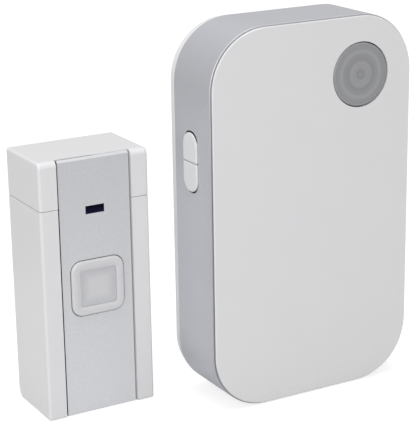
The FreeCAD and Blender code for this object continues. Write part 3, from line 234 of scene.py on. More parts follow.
def worked(tree, operation, *values, kind="Math", result="Value"):
    """Work out a number, or with VectorMath a vector, from values and outputs."""
    node = tree.nodes.new("ShaderNode" + kind)
    node.operation = operation
    for socket, given in zip(node.inputs, values):
        feed(tree, socket, given)
    return node.outputs[result]


def voronoi(tree, scale):
    """Add a Voronoi texture on the piece's own coordinates."""
    texture = tree.nodes.new("ShaderNodeTexVoronoi")
    feed(tree, texture.inputs["Vector"], place_on(tree))
    feed(tree, texture.inputs["Scale"], scale)
    return texture


def flake_lacquer():
    """Group: each Voronoi cell is one flake with its own tone, gloss and tilt, over a slow orange peel."""
    group, start, end = surface_group("flake_lacquer", ("Flakes per Metre", 7000.0))
    flake = group.nodes.new("ShaderNodeSeparateColor")
    feed(group, flake.inputs["Color"], voronoi(group, start.outputs["Flakes per Metre"]).outputs["Color"])
    peel = noise(group, PEELS_PER_METRE, 1.0)
    height = worked(group, "MULTIPLY_ADD", flake.outputs["Blue"], FLAKE_TILT, peel)
    return end_surface(group, start, end, flake.outputs["Red"], flake.outputs["Green"], height)


flake_group = flake_lacquer()


def silver_lacquer(name, low, high, metallic):
    """Aluminium-flake lacquer between two tones. Return its material, tree, shader and colour."""
    material, tree, shader, node = surfaced(name, flake_group, metallic, low, high, LACQUER_GLOSS,
                                            LACQUER_RELIEF)
    shader.inputs["Specular IOR Level"].default_value = 0.25
    return material, tree, shader, node.outputs["Color"]


def share_along(name, source):
    """Group: share from 0 to 1 between two values along an axis of the Object coordinates, or of the
    Normal without its sign."""
    group, start, end = new_group(
        name, [("Axis", (1.0, 0.0, 0.0)), ("Start", 0.0), ("Stop", 1.0)], [("Share", "Float")])
    value = worked(group, "DOT_PRODUCT", place_on(group, source), start.outputs["Axis"], kind="VectorMath")
    if source == "Normal":
        value = worked(group, "ABSOLUTE", value)
    feed(group, end.inputs["Share"], ramp(group, value, start.outputs["Start"], start.outputs["Stop"]))
    return group


share_groups = {"Object": share_along("share_of_place", "Object"),
                "Normal": share_along("share_of_slope", "Normal")}


def along(tree, source, axis, start, stop):
    """Put the share between two values along an axis, X, Y or Z, into a material."""
    way = tuple(float(letter == axis) for letter in "XYZ")
    return place_group(tree, share_groups[source], Axis=way, Start=start, Stop=stop).outputs["Share"]


def within(tree, axis, low, high, fade):
    """Share that is 1 between two values along an axis of the Object coordinates and fades past them."""
    return worked(tree, "MULTIPLY", along(tree, "Object", axis, low - fade, low),
                  along(tree, "Object", axis, high + fade, high))


band_low, band_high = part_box("chime_side_band")
keys_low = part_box("volume_down_button")[0]
keys_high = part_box("volume_up_button")[1]
band_silver, tree, shader, lacquer = silver_lacquer(
    "silver_band_lacquer", (0.56, 0.566, 0.6, 1), (0.65, 0.656, 0.695, 1), 0.6)
height = band_high.z
# Painted shade on the band's front edge in the groove by the front cover, lighter towards the top.
pale = along(tree, "Object", "Z", BAND_PALE_LOW * height, BAND_PALE_TOP * height)
band_edge_shade = mixed(tree, pale, EDGE_PAINTED_SHADE_LOW, EDGE_PAINTED_SHADE_TOP)
# Painted light: the band is lighter low down towards its back.
band_light_share = worked(tree, "MULTIPLY", along(tree, "Object", "Y", band_low.y, band_high.y),
              within(tree, "Z", BAND_LIGHT_LOW * height, BAND_LIGHT_TOP * height, BAND_LIGHT_FADE * height))
lacquer = mixed(tree, 1.0, lacquer, mixed(tree, band_light_share, PLAIN, BAND_PAINTED_LIGHT), "MULTIPLY")
band_tone = mixed(tree, along(tree, "Normal", "Y", *BAND_SLOPE), lacquer, band_edge_shade)
# Painted shade on the walls of the band's key opening.
opening = worked(tree, "MULTIPLY", within(tree, "Y", keys_low.y, keys_high.y, GAP_DEPTH),
                 within(tree, "Z", keys_low.z, keys_high.z, GAP_DEPTH))
opening = worked(tree, "MULTIPLY", opening, along(tree, "Normal", "X", *OPENING_SLOPE))
tree.links.new(mixed(tree, opening, band_tone, GAP_SHADE), shader.inputs["Base Color"])
dress(band_silver, "chime_side_band")

strip_low, strip_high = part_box("push_silver_strip")
strip_silver, tree, shader, lacquer = silver_lacquer(
    "silver_strip_lacquer", (0.59, 0.595, 0.615, 1), (0.69, 0.695, 0.715, 1), 0.3)
# Painted light and shade: the strip is lighter at its foot and darker at its top.
strip_painted_light = mixed(tree, along(tree, "Object", "Z", strip_low.z, strip_high.z),
              STRIP_FOOT_PAINTED_LIGHT, STRIP_TOP_PAINTED_SHADE)
lacquer = mixed(tree, 1.0, lacquer, strip_painted_light, "MULTIPLY")
push_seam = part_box("push_top_hood")[0].z
# Painted shade on the strip's left flank in its groove, near black below the push's seam and grey above it;
# the right flank keeps the lacquer.
strip_flank_shade = mixed(tree, along(tree, "Object", "Z", push_seam - GAP_DEPTH, push_seam + GAP_DEPTH),
              FLANK_PAINTED_SHADE, EDGE_PAINTED_SHADE)
strip_middle = (strip_low.x + strip_high.x) / 2
strip_flank_shade = mixed(tree, along(tree, "Object", "X", strip_middle, strip_middle + GAP_DEPTH), strip_flank_shade, lacquer)
strip_tone = mixed(tree, along(tree, "Normal", "Y", *STRIP_SLOPE), strip_flank_shade, lacquer)
tree.links.new(strip_tone, shader.inputs["Base Color"])
dress(strip_silver, "push_silver_strip")

# Push shells: the cover and its hood are moulded like the chime's shells and meet in a fine open seam,
# which carries a thin line of painted shade right round the push.

SEAM_HALF = 0.00013
SEAM_PAINTED_SHADE = (0.2, 0.2, 0.21, 1)

push_white, tree, shader, grain = grained_plastic(
    "push_abs", (0.733, 0.733, 0.743, 1), (0.75, 0.75, 0.76, 1), 0.3, 0.42)
# Painted shade along the seam between cover and hood.
seam = within(tree, "Z", push_seam, push_seam, SEAM_HALF)
tree.links.new(mixed(tree, seam, grain.outputs["Color"], SEAM_PAINTED_SHADE), shader.inputs["Base Color"])
dress(push_white, "push_cover", "push_top_hood")

# Volume keys: two half-oval caps in the shell's white ABS, pushed out through the band from inside. Their
# flanks deep in the opening and the top end of the upper key carry painted shade, almost black.

KEY_END = 0.005
KEY_END_FADE = 0.002
KEY_END_SLOPE = (0.2, 0.5)
KEY_LIP = 0.0003

key_white, tree, shader, grain = grained_plastic(
    "key_abs", (0.733, 0.733, 0.748, 1), (0.75, 0.75, 0.765, 1), 0.3, 0.42)
# Painted shade on the flanks deeper than the band's face.
key_tone = mixed(tree, along(tree, "Object", "X", band_low.x, band_low.x + GAP_DEPTH),
                 grain.outputs["Color"], GAP_SHADE)
# Painted shade on the top end of the upper key, next to the band's face.
key_top_shade = worked(tree, "MULTIPLY",
                 along(tree, "Object", "Z", keys_high.z - KEY_END, keys_high.z - KEY_END + KEY_END_FADE),
                 along(tree, "Object", "X", band_low.x - KEY_LIP, band_low.x - KEY_LIP / 3))
key_top_shade = worked(tree, "MULTIPLY", key_top_shade, along(tree, "Normal", "Z", *KEY_END_SLOPE))
tree.links.new(mixed(tree, key_top_shade, key_tone, GAP_SHADE), shader.inputs["Base Color"])
dress(key_white, "volume_up_button", "volume_down_button")

# Signal lens in the chime's upper right corner: a round smoked acrylic disc, moulded with shallow
# concentric rings that spread the light behind it. Its flange is glued to the inside of the front cover.
# Its colour carries painted light and shade in bands over the rings, a painted highlight near its rim and
# painted shade on its side wall in the gap round it.


def skin(points):
    """Give the flat point list of a rows-by-columns grid and the quads between its neighbours, with the
    last column joined to the first."""
    rows, columns = points.shape[:2]
    index = np.arange(rows * columns).reshape(rows, columns)
    index = np.hstack([index, index[:, :1]])
    quads = np.stack([index[:-1, :-1], index[:-1, 1:], index[1:, 1:], index[1:, :-1]], -1)
    return points.reshape(-1, 3), quads.reshape(-1, 4)


def make_piece(name, skins, material, body, slot, *replaced, measure=None):
    """Join skins into one welded mesh whose faces point outwards, and hand it to the frame. A measure
    is a list of numbers for each skin, one for each point, which its material reads."""
    points, quads, count = [], [], 0
    for places, faces in skins:
        points.append(places)
        quads.append(faces + count)
        count += len(places)
    mesh = bpy.data.meshes.new(name)
    mesh.from_pydata(np.concatenate(points), [], np.concatenate(quads))
    if measure is not None:
        mesh.attributes.new("measure", "FLOAT", "POINT").data.foreach_set("value", np.concatenate(measure))
    work = bmesh.new()
    work.from_mesh(mesh)
    bmesh.ops.remove_doubles(work, verts=work.verts, dist=1e-6)
    bmesh.ops.recalc_face_normals(work, faces=work.faces)
    work.to_mesh(mesh)
    work.free()
    mesh.polygons.foreach_set("use_smooth", np.ones(len(mesh.polygons), bool))
    mesh.set_sharp_from_angle(angle=math.radians(40))
    mesh.materials.append(material)
    piece = bpy.data.objects.new(name, mesh)
    bpy.context.scene.collection.objects.link(piece)
    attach(piece, body)
    if replaced:
        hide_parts(*replaced)
    return piece


TURN_POINTS = 96
QUARTER = np.linspace(0, np.pi / 2, 6)


def turned(profile, centre, axis, segments=TURN_POINTS):
    """Turn a profile of (radius, distance along the axis) rows round an axis through a centre.

    Point = centre + distance * axis + radius * (cos t * side + sin t * up), where side and up are
    the other two axes."""
    profile = np.asarray(profile, float)
    turn = np.linspace(0, 2 * np.pi, segments, endpoint=False)
    line = np.eye(3)["xyz".index(axis)]
    side = np.eye(3)[("xyz".index(axis) + 1) % 3]
    up = np.eye(3)[("xyz".index(axis) + 2) % 3]
    ring = np.cos(turn)[:, None] * side + np.sin(turn)[:, None] * up
    points = (np.asarray(centre) + profile[:, 1][:, None, None] * line
              + profile[:, 0][:, None, None] * ring[None])
    return skin(points)


def quarter_turn(start, stop):
    """Quarter of an ellipse from one profile point to another: it leaves along the radius and ends
    along the axis."""
    return np.stack([start[0] + (stop[0] - start[0]) * np.sin(QUARTER),
                     start[1] + (stop[1] - start[1]) * (1 - np.cos(QUARTER))], 1)


lens_low, lens_high = (np.array(corner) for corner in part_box("chime_lens"))
lens_middle = (lens_low + lens_high) / 2
lens_front = lens_low[1]
lens_flange_radius = (lens_high[0] - lens_low[0]) / 2
LENS_FLANGE = 0.00155
LENS_FLANGE_WALL = 0.001
LENS_RADIUS = lens_flange_radius - LENS_FLANGE
LENS_STEPS = 90
LENS_POINTS = 128
LENS_RING_PITCH = 0.42 * LENS_RADIUS
LENS_RING_PHASE = 0.715
LENS_FINE_PITCH = 0.17 * LENS_RADIUS
LENS_FINE_PHASE = 0.2
LENS_RIPPLE = 0.00005
LENS_WALL = 0.002
LENS_EDGE = 0.0006
LENS_RIM_START = 0.9
LENS_RIM_HIGHLIGHT = (0.345, 0.345, 0.36, 1)
RING_PAINTED_SHADE = (0.9, 0.9, 0.9, 1)
RING_PAINTED_LIGHT = (1.08, 1.08, 1.09, 1)
FINE_PAINTED_SHADE = (0.97, 0.97, 0.975, 1)
FINE_PAINTED_LIGHT = (1.04, 1.04, 1.04, 1)

reach = np.linspace(0, LENS_RADIUS - LENS_EDGE, LENS_STEPS)
ripple = LENS_RIPPLE * (1 - np.cos(2 * np.pi * (reach / LENS_RING_PITCH - LENS_RING_PHASE)))
lens_profile = np.concatenate([
    np.stack([reach, ripple], 1),
    quarter_turn((LENS_RADIUS - LENS_EDGE, ripple[-1]), (LENS_RADIUS, LENS_EDGE))[1:],
    [[LENS_RADIUS, LENS_WALL], [lens_flange_radius, LENS_WALL],
     [lens_flange_radius, LENS_WALL + LENS_FLANGE_WALL], [0, LENS_WALL + LENS_FLANGE_WALL]],
])


def round_rings():
    """Group: rings round a line along Y, cos(2 pi (distance / pitch - phase)) brought to 0..1."""
    group, start, end = new_group(
        "round_rings", [("Centre", (0.0, 0.0, 0.0)), ("Pitch", 0.001), ("Phase", 0.0)],
        [("Share", "Float"), ("Distance", "Float")])
    away = worked(group, "SUBTRACT", place_on(group), start.outputs["Centre"], kind="VectorMath",
                  result="Vector")
    flat = worked(group, "MULTIPLY", away, (1, 0, 1), kind="VectorMath", result="Vector")
    distance = worked(group, "LENGTH", flat, kind="VectorMath")
    turns = worked(group, "SUBTRACT", worked(group, "DIVIDE", distance, start.outputs["Pitch"]),
                   start.outputs["Phase"])
    wave = worked(group, "COSINE", worked(group, "MULTIPLY", turns, 2 * math.pi))
    feed(group, end.inputs["Share"], ramp(group, wave, -1.0))
    feed(group, end.inputs["Distance"], distance)
    return group


ring_group = round_rings()
smoked, tree, shader, grain = grained_plastic(
    "smoked_acrylic", (0.293, 0.295, 0.303, 1), (0.313, 0.315, 0.323, 1), 0.22, 0.3, 1200.0, 0.000003)
broad = place_group(tree, ring_group, Centre=lens_middle, Pitch=LENS_RING_PITCH, Phase=LENS_RING_PHASE)
fine = place_group(tree, ring_group, Centre=lens_middle, Pitch=LENS_FINE_PITCH, Phase=LENS_FINE_PHASE)
# Painted light and shade in bands over the moulded rings.
tone = mixed(tree, 1.0, grain.outputs["Color"],
             mixed(tree, broad.outputs["Share"], RING_PAINTED_SHADE, RING_PAINTED_LIGHT), "MULTIPLY")
tone = mixed(tree, 1.0, tone, mixed(tree, fine.outputs["Share"], FINE_PAINTED_SHADE, FINE_PAINTED_LIGHT), "MULTIPLY")
# Painted highlight in a band near the lens's rim.
lens_rim_highlight = ramp(tree, broad.outputs["Distance"], LENS_RIM_START * LENS_RADIUS, LENS_RADIUS)
tone = mixed(tree, lens_rim_highlight, tone, LENS_RIM_HIGHLIGHT)
# Painted shade on the lens's side wall, behind its front edge, in the gap round it.
tree.links.new(mixed(tree, along(tree, "Object", "Y", lens_front + LENS_EDGE, lens_front + 2 * LENS_EDGE),
                     tone, GAP_SHADE), shader.inputs["Base Color"])
lens_centre = (lens_middle[0], lens_front, lens_middle[2])
make_piece("signal_lens", [turned(lens_profile, lens_centre, "y", LENS_POINTS)], smoked,
           "chime_housing", "lens_plastic", "chime_lens")

# Bell button: a square cap with a raised frame, moulded in white ABS and pushed through the strip from
# behind. Its flange keeps it in, and the nub on its back works the switch.


CORNER_POINTS = 10


def rounded_ring(half_width, half_height, corner, depth):
    """Ring of points round a rounded square at one depth: each corner's centre plus
    corner * (cos t, sin t), with t over that corner's quarter turn."""
    turn = np.linspace(0, np.pi / 2, CORNER_POINTS)
    sides = []
    for quarter, (across, up) in enumerate(((1, 1), (-1, 1), (-1, -1), (1, -1))):
        angle = turn + quarter * np.pi / 2
        sides.append(np.stack([across * (half_width - corner) + corner * np.cos(angle),
                               np.full(CORNER_POINTS, depth),
                               up * (half_height - corner) + corner * np.sin(angle)], 1))
    return np.concatenate(sides)


def stepped(centre, rows):
    """Skin through a list of rounded squares, from the middle of one face to the middle of the other."""
    rings = np.stack([rounded_ring(*row) for row in rows])
    return skin(rings + np.asarray(centre))


def edge_rows(half_width, half_height, corner, depth, radius):
    """Rounded squares over an outer edge: inset = radius * (1 - sin t), depth + radius * (1 - cos t)."""
    return [(half_width - radius * (1 - math.sin(t)), half_height - radius * (1 - math.sin(t)),
             corner - radius * (1 - math.sin(t)), depth + radius * (1 - math.cos(t))) for t in QUARTER]


BUTTON_FLANGE = 0.0014
BUTTON_SHAFT = 0.0044
BUTTON_FLANGE_WALL = 0.0012
BUTTON_CORNER = 0.004
BUTTON_EDGE = 0.0009
BUTTON_NUB = 0.003
PAD_CORNER = 0.0009
PAD_GAP = 0.00003
PAD_RECESS = 0.0024
FRAME_SLOPE = 0.0014
FRAME_FOOT = 0.00025

button_low, button_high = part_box("bell_button")
pad_low, pad_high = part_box("bell_button_inlay")
button_centre = ((button_low.x + button_high.x) / 2, button_low.y, (button_low.z + button_high.z) / 2)
button_half = ((button_high.x - button_low.x) / 2 - BUTTON_FLANGE,
               (button_high.z - button_low.z) / 2 - BUTTON_FLANGE)
pad_half = ((pad_high.x - pad_low.x) / 2, (pad_high.z - pad_low.z) / 2)
recess_floor = (pad_half[0] + PAD_GAP, pad_half[1] + PAD_GAP, PAD_CORNER + PAD_GAP)
button_rows = [(0, 0, 0, PAD_RECESS), (*recess_floor, PAD_RECESS)]
for share in np.linspace(0, 1, 9):
    button_rows.append((*(size + FRAME_SLOPE * share for size in recess_floor),
                        FRAME_FOOT * (0.5 + 0.5 * math.cos(math.pi * share))))
button_rows += edge_rows(*button_half, BUTTON_CORNER, 0, BUTTON_EDGE)
flange_half = (button_half[0] + BUTTON_FLANGE, button_half[1] + BUTTON_FLANGE,
               BUTTON_CORNER + BUTTON_FLANGE)
flange_back = BUTTON_SHAFT + BUTTON_FLANGE_WALL
nub_end = button_high.y - button_low.y
button_rows += [(*button_half, BUTTON_CORNER, BUTTON_SHAFT), (*flange_half, BUTTON_SHAFT),
                (*flange_half, flange_back), (BUTTON_NUB, BUTTON_NUB, BUTTON_NUB, flange_back),
                (BUTTON_NUB, BUTTON_NUB, BUTTON_NUB, nub_end), (0, 0, 0, nub_end)]
button_white, tree, shader, grain = grained_plastic(
    "button_abs", (0.63, 0.63, 0.648, 1), (0.66, 0.66, 0.675, 1), 0.24, 0.34, 3600.0, 0.000006)
# Painted shade on the cap's sides deeper than the strip's face, in the gap round it.
tree.links.new(mixed(tree, along(tree, "Object", "Y", strip_low.y, strip_low.y + GAP_DEPTH),
                     grain.outputs["Color"], GAP_SHADE), shader.inputs["Base Color"])
make_piece("button_cap", [stepped(button_centre, button_rows)], button_white, "bell_key",
           "clear_plastic", "bell_button")

# Pad in the button's frame: a translucent white acrylic tile, glued into the recess. Its face is dished,
# and painted shade for the dish and for light soaking into it makes it greyer near its edges than in its
# middle.


def share_of_measure():
    """Group: share from 0 to 1, with soft ends, between two values of the measure that a mesh carries."""
    group, start, end = new_group("share_of_measure", [("Start", 0.0), ("Stop", 1.0)], [("Share", "Float")])
    source = group.nodes.new("ShaderNodeAttribute")
    source.attribute_name = "measure"
    share = ramp(group, source.outputs["Fac"], start.outputs["Start"], start.outputs["Stop"],
                 way="SMOOTHSTEP")
    feed(group, end.inputs["Share"], share)
    return group


measure_group = share_of_measure()
PAD_EDGE = 0.00012
PAD_DISH = 0.00018
PAD_SHADE_WIDTH = 0.0042
PAD_RIM_PAINTED_SHADE = (0.54, 0.543, 0.572, 1)
PAD_MIDDLE_TONE = (0.645, 0.645, 0.657, 1)

pad_centre = ((pad_low.x + pad_high.x) / 2, pad_low.y, (pad_low.z + pad_high.z) / 2)
pad_rows = []
pad_insets = []
for share in np.linspace(0, 1, 16):
    inset = (1 - share) * (pad_half[1] - PAD_EDGE) + PAD_EDGE
    pad_rows.append((share * (pad_half[0] - PAD_EDGE), share * (pad_half[1] - PAD_EDGE),
                     share * (PAD_CORNER - PAD_EDGE), PAD_DISH * (1 - share ** 4)))
    pad_insets.append(inset)
for row in edge_rows(*pad_half, PAD_CORNER, 0, PAD_EDGE)[1:]:
    pad_rows.append(row)
    pad_insets.append(pad_half[0] - row[0])
pad_back = pad_high.y - pad_low.y
pad_rows += [(*pad_half, PAD_CORNER, pad_back), (0, 0, 0, pad_back)]
pad_insets += [0, 0]
pad_white, tree, shader, grain = grained_plastic(
    "pad_acrylic", (0.93, 0.93, 0.935, 1), (1, 1, 1, 1), 0.3, 0.42, 2500.0, 0.000008)
# Painted shade: greyer near the pad's edges than in its middle.
pad_edge_shade = place_group(tree, measure_group, Start=0.0, Stop=PAD_SHADE_WIDTH)
pad_tone = mixed(tree, pad_edge_shade.outputs["Share"], PAD_RIM_PAINTED_SHADE, PAD_MIDDLE_TONE)
pad_tone = mixed(tree, 1.0, pad_tone, grain.outputs["Color"], "MULTIPLY")
tree.links.new(pad_tone, shader.inputs["Base Color"])
make_piece("button_pad", [stepped(pad_centre, pad_rows)], pad_white, "bell_key", "clear_plastic",
           "bell_button_inlay", measure=[np.repeat(pad_insets, 4 * CORNER_POINTS)])

# Indicator window: a small tile of smoked acrylic set flush in the strip, with a light pipe on its back
# that reaches to the lamp. It is almost black, a little bluer towards its lower edge.

WINDOW_GRAINS_PER_METRE = 3000.0
WINDOW_RELIEF = 0.000003
WINDOW_TOP = (0.0008, 0.0008, 0.002, 1)
WINDOW_LOW = (0.009, 0.009, 0.036, 1)

window_low, window_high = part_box("push_indicator_window")
smoked_window, tree, shader = new_material("smoked_window", WINDOW_TOP, 0.5)
shader.inputs["Specular IOR Level"].default_value = 0.03
window_tone = mixed(tree, along(tree, "Object", "Z", window_low.z, window_high.z), WINDOW_LOW, WINDOW_TOP)
tree.links.new(window_tone, shader.inputs["Base Color"])
raise_surface(tree, shader, noise(tree, WINDOW_GRAINS_PER_METRE), WINDOW_RELIEF)
dress(smoked_window, "push_indicator_window")

# Light cup and lamps behind the lens: a white reflector ring moulded in glossy polystyrene stands on the
# board round three small surface-mounted lamps, with the push's single lamp of the same kind.

PHOSPHOR = (0.75, 0.55, 0.08, 1)
PHOSPHOR_RADIUS = 0.001
PHOSPHOR_FADE = 0.00005
LIGHT_SIZE = 0.0028

reflector = grained_plastic("reflector_polystyrene", (0.8, 0.8, 0.79, 1), (0.86, 0.86, 0.85, 1),
                            0.14, 0.22, 900.0, 0.000004)[0]
dress(reflector, "chime_light_cup")


def lamp_phosphor(name, *places):
    """White lamp body with a round yellow phosphor window at each place on its front."""
    material, tree, shader, grain = grained_plastic(
        name, (0.75, 0.75, 0.72, 1), (0.8, 0.8, 0.77, 1), 0.25, 0.4)
    spot = None
    for centre in places:
        away = worked(tree, "DISTANCE", place_on(tree), centre, kind="VectorMath")
        spot = away if spot is None else worked(tree, "MINIMUM", spot, away)
    ring = ramp(tree, spot, PHOSPHOR_RADIUS - PHOSPHOR_FADE, PHOSPHOR_RADIUS + PHOSPHOR_FADE)
    tree.links.new(mixed(tree, ring, PHOSPHOR, grain.outputs["Color"]), shader.inputs["Base Color"])
    return material


lights_low, lights_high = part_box("chime_lights")
lamp_low, lamp_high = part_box("push_lamp")
light_places = [(lights_low.x + LIGHT_SIZE / 2, lights_low.y, lights_low.z + LIGHT_SIZE / 2),
                (lights_high.x - LIGHT_SIZE / 2, lights_low.y, lights_low.z + LIGHT_SIZE / 2),
                ((lights_low.x + lights_high.x) / 2, lights_low.y, lights_high.z - LIGHT_SIZE / 2)]
dress(lamp_phosphor("signal_lamp", *light_places), "chime_lights")
dress(lamp_phosphor("indicator_lamp", ((lamp_low.x + lamp_high.x) / 2, lamp_low.y,
                                       (lamp_low.z + lamp_high.z) / 2)), "push_lamp")

# Circuit boards of both units: glass-fibre laminate with copper runs under a green lacquer and tinned
# pads where parts are soldered. The chime's is notched round its battery bay; the push's is an oblong.

RUN_SHARE = 0.35
PAD_SIZE = 0.16
MASK_GLOSS = 0.26
TIN_GLOSS = 0.36
PAD_RISE = 1.5
PAD_SCATTER = 0.75
BOARD_RELIEF = 0.00003


def printed_board():
    """Group: square Voronoi fields hold parallel runs, turned field by field, and tinned round pads."""
    group, start, end = new_group(
        "printed_board",
        [("Fields per Metre", 150.0), ("Runs per Metre", 5000.0), ("Pads per Metre", 420.0),
         ("Mask", (0.012, 0.11, 0.035, 1.0)), ("Run", (0.03, 0.2, 0.06, 1.0)),
         ("Tin", (0.6, 0.6, 0.58, 1.0))],
        [("Color", "Color"), ("Metallic", "Float"), ("Roughness", "Float"), ("Height", "Float")])
    parts = group.nodes.new("ShaderNodeSeparateXYZ")
    feed(group, parts.inputs["Vector"], place_on(group))
    fields = voronoi(group, start.outputs["Fields per Metre"])
    fields.distance = "CHEBYCHEV"
    lot = group.nodes.new("ShaderNodeSeparateColor")
    feed(group, lot.inputs["Color"], fields.outputs["Color"])
    lengthwise = worked(group, "GREATER_THAN", lot.outputs["Red"], 0.5)
    crosswise = worked(group, "SUBTRACT", 1.0, lengthwise)
    phase = worked(group, "MULTIPLY", worked(
        group, "ADD", worked(group, "MULTIPLY", parts.outputs["X"], lengthwise),
        worked(group, "MULTIPLY", parts.outputs["Z"], crosswise)), start.outputs["Runs per Metre"])
    runs = worked(group, "MULTIPLY", worked(group, "GREATER_THAN", worked(group, "SINE", phase), RUN_SHARE),
                  worked(group, "GREATER_THAN", lot.outputs["Green"], RUN_SHARE))
    pads = voronoi(group, start.outputs["Pads per Metre"])
    pads.inputs["Randomness"].default_value = PAD_SCATTER
    tin = worked(group, "LESS_THAN", pads.outputs["Distance"], PAD_SIZE)
    tone = mixed(group, runs, start.outputs["Mask"], start.outputs["Run"])
    tone = mixed(group, tin, tone, start.outputs["Tin"])
    gloss = worked(group, "MULTIPLY_ADD", tin, TIN_GLOSS - MASK_GLOSS, MASK_GLOSS)
    height = worked(group, "MULTIPLY_ADD", tin, PAD_RISE, runs)
    for socket, given in (("Color", tone), ("Metallic", tin), ("Roughness", gloss), ("Height", height)):
        feed(group, end.inputs[socket], given)
    return group


board_finish, tree, shader = new_material("board_laminate", (0.02, 0.12, 0.04, 1), 0.3)
board_print = place_group(tree, printed_board())
for output, socket in (("Color", "Base Color"), ("Metallic", "Metallic"), ("Roughness", "Roughness")):
    tree.links.new(board_print.outputs[output], shader.inputs[socket])
raise_surface(tree, shader, board_print.outputs["Height"], BOARD_RELIEF)
dress(board_finish, "chime_circuit_board", "push_circuit_board")

# Packages and switches on the boards: the two chips and the bodies of the three press switches are
# black epoxy and nylon, the switch stems a harder grey acetal, all soldered to the tinned pads.

epoxy = grained_plastic("chip_epoxy", (0.012, 0.012, 0.013, 1), (0.025, 0.025, 0.027, 1),
                        0.45, 0.65, 6000.0, 0.000012)[0]
dress(epoxy, "chime_controller_chip", "push_chip")
nylon = grained_plastic("switch_nylon", (0.02, 0.02, 0.021, 1), (0.04, 0.04, 0.042, 1),
                        0.35, 0.5, 3000.0, 0.000008)[0]
dress(nylon, "volume_up_switch", "volume_down_switch", "push_switch")
acetal = grained_plastic("stem_acetal", (0.28, 0.27, 0.25, 1), (0.33, 0.32, 0.3, 1),
                         0.3, 0.42, 2500.0, 0.000006)[0]
dress(acetal, "volume_up_stem", "volume_down_stem", "push_stem")

# Metal parts: the crystal's can, the cells' springs and contact plates and the coin cell's contact and
# clip are drawn or rolled steel under nickel, so fine lines run along them; the aerial is copper wire.

LINES_PER_METRE = 3000.0
CLOUDS_PER_METRE = 250.0
METAL_RELIEF = 0.000004


def drawn_metal():
    """Group: noise squeezed along one axis makes rolling lines, over a broad cloud of plating tone."""
    group, start, end = surface_group("drawn_metal", ("Stretch", (1.0, 1.0, 1.0)))
    squeezed = worked(group, "MULTIPLY", place_on(group), start.outputs["Stretch"], kind="VectorMath",
                      result="Vector")
    lines = noise(group, LINES_PER_METRE, 3.0, place=squeezed)
    return end_surface(group, start, end, noise(group, CLOUDS_PER_METRE, 3.0), lines, lines)


metal_group = drawn_metal()


def plated(name, low, high, stretch=(1.0, 1.0, 1.0), gloss=(0.2, 0.38)):
    """Drawn or rolled metal in two tones, with its lines squeezed along an axis."""
    return surfaced(name, metal_group, 1.0, low, high, gloss, METAL_RELIEF, Stretch=stretch)[0]


nickel = plated("nickel_plate", (0.52, 0.5, 0.46, 1), (0.66, 0.64, 0.6, 1), (1.0, 1.0, 0.1))
dress(nickel, "cell_springs", "cell_contact_plates", "coin_contact", "coin_cell_clip")
can_steel = plated("crystal_can", (0.6, 0.6, 0.6, 1), (0.7, 0.7, 0.7, 1), (0.1, 1.0, 1.0))
dress(can_steel, "chime_crystal")
copper = plated("enamelled_copper", (0.5, 0.16, 0.05, 1), (0.68, 0.26, 0.1, 1), gloss=(0.12, 0.25))
dress(copper, "chime_aerial")

# Loudspeaker: a pressed and zinc-plated steel basket with a ferrite magnet glued to its front and a cone
# of grey-black paper pulp across its mouth, facing the sound holes in the back cover.

PULP_RING = 0.0016
GRAIN_SHARE = 0.4
PULP_RELIEF = 0.00008

zinc = plated("zinc_plate", (0.45, 0.45, 0.47, 1), (0.6, 0.6, 0.63, 1), gloss=(0.28, 0.45))
dress(zinc, "speaker_frame")
ferrite = grained_plastic("magnet_ferrite", (0.035, 0.035, 0.038, 1), (0.06, 0.06, 0.064, 1),
                          0.4, 0.6, 4500.0, 0.00002)[0]
dress(ferrite, "speaker_magnet")
paper, tree, shader, grain = grained_plastic(
    "cone_paper", (0.03, 0.03, 0.03, 1), (0.055, 0.055, 0.055, 1), 0.7, 0.9, 1800.0, 0.0)
cone_low, cone_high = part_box("speaker_cone")
pulp_rings = place_group(tree, ring_group, Centre=(cone_low + cone_high) / 2, Pitch=PULP_RING)
pulp = worked(tree, "MULTIPLY_ADD", grain.outputs["Height"], GRAIN_SHARE, pulp_rings.outputs["Share"])
raise_surface(tree, shader, pulp, PULP_RELIEF)
dress(paper, "speaker_cone")

# Screws: four hold the chime's covers from behind, two its board and four the push's board. They are
# zinc-plated self-tapping screws with a pressed cross recess and a coarse thread.

SCREW_POINTS = 48
HEAD_STEPS = 26
SCREW_RADIUS = 0.00115
SCREW_HEAD_RADIUS = 0.0022
SCREW_HEAD = 0.0015
HEAD_FACE = 0.86 * SCREW_HEAD_RADIUS
HEAD_DOME = 0.00035
HEAD_EDGE = 0.0009
SCREW_CORE = 0.00085
SCREW_TIP = 0.0008
THREAD_PITCH = 0.0009
CROSS_ARM = 0.00125
CROSS_HALF = 0.0003
CROSS_FLANK = 0.6 * CROSS_HALF
CROSS_DEPTH = 0.0008


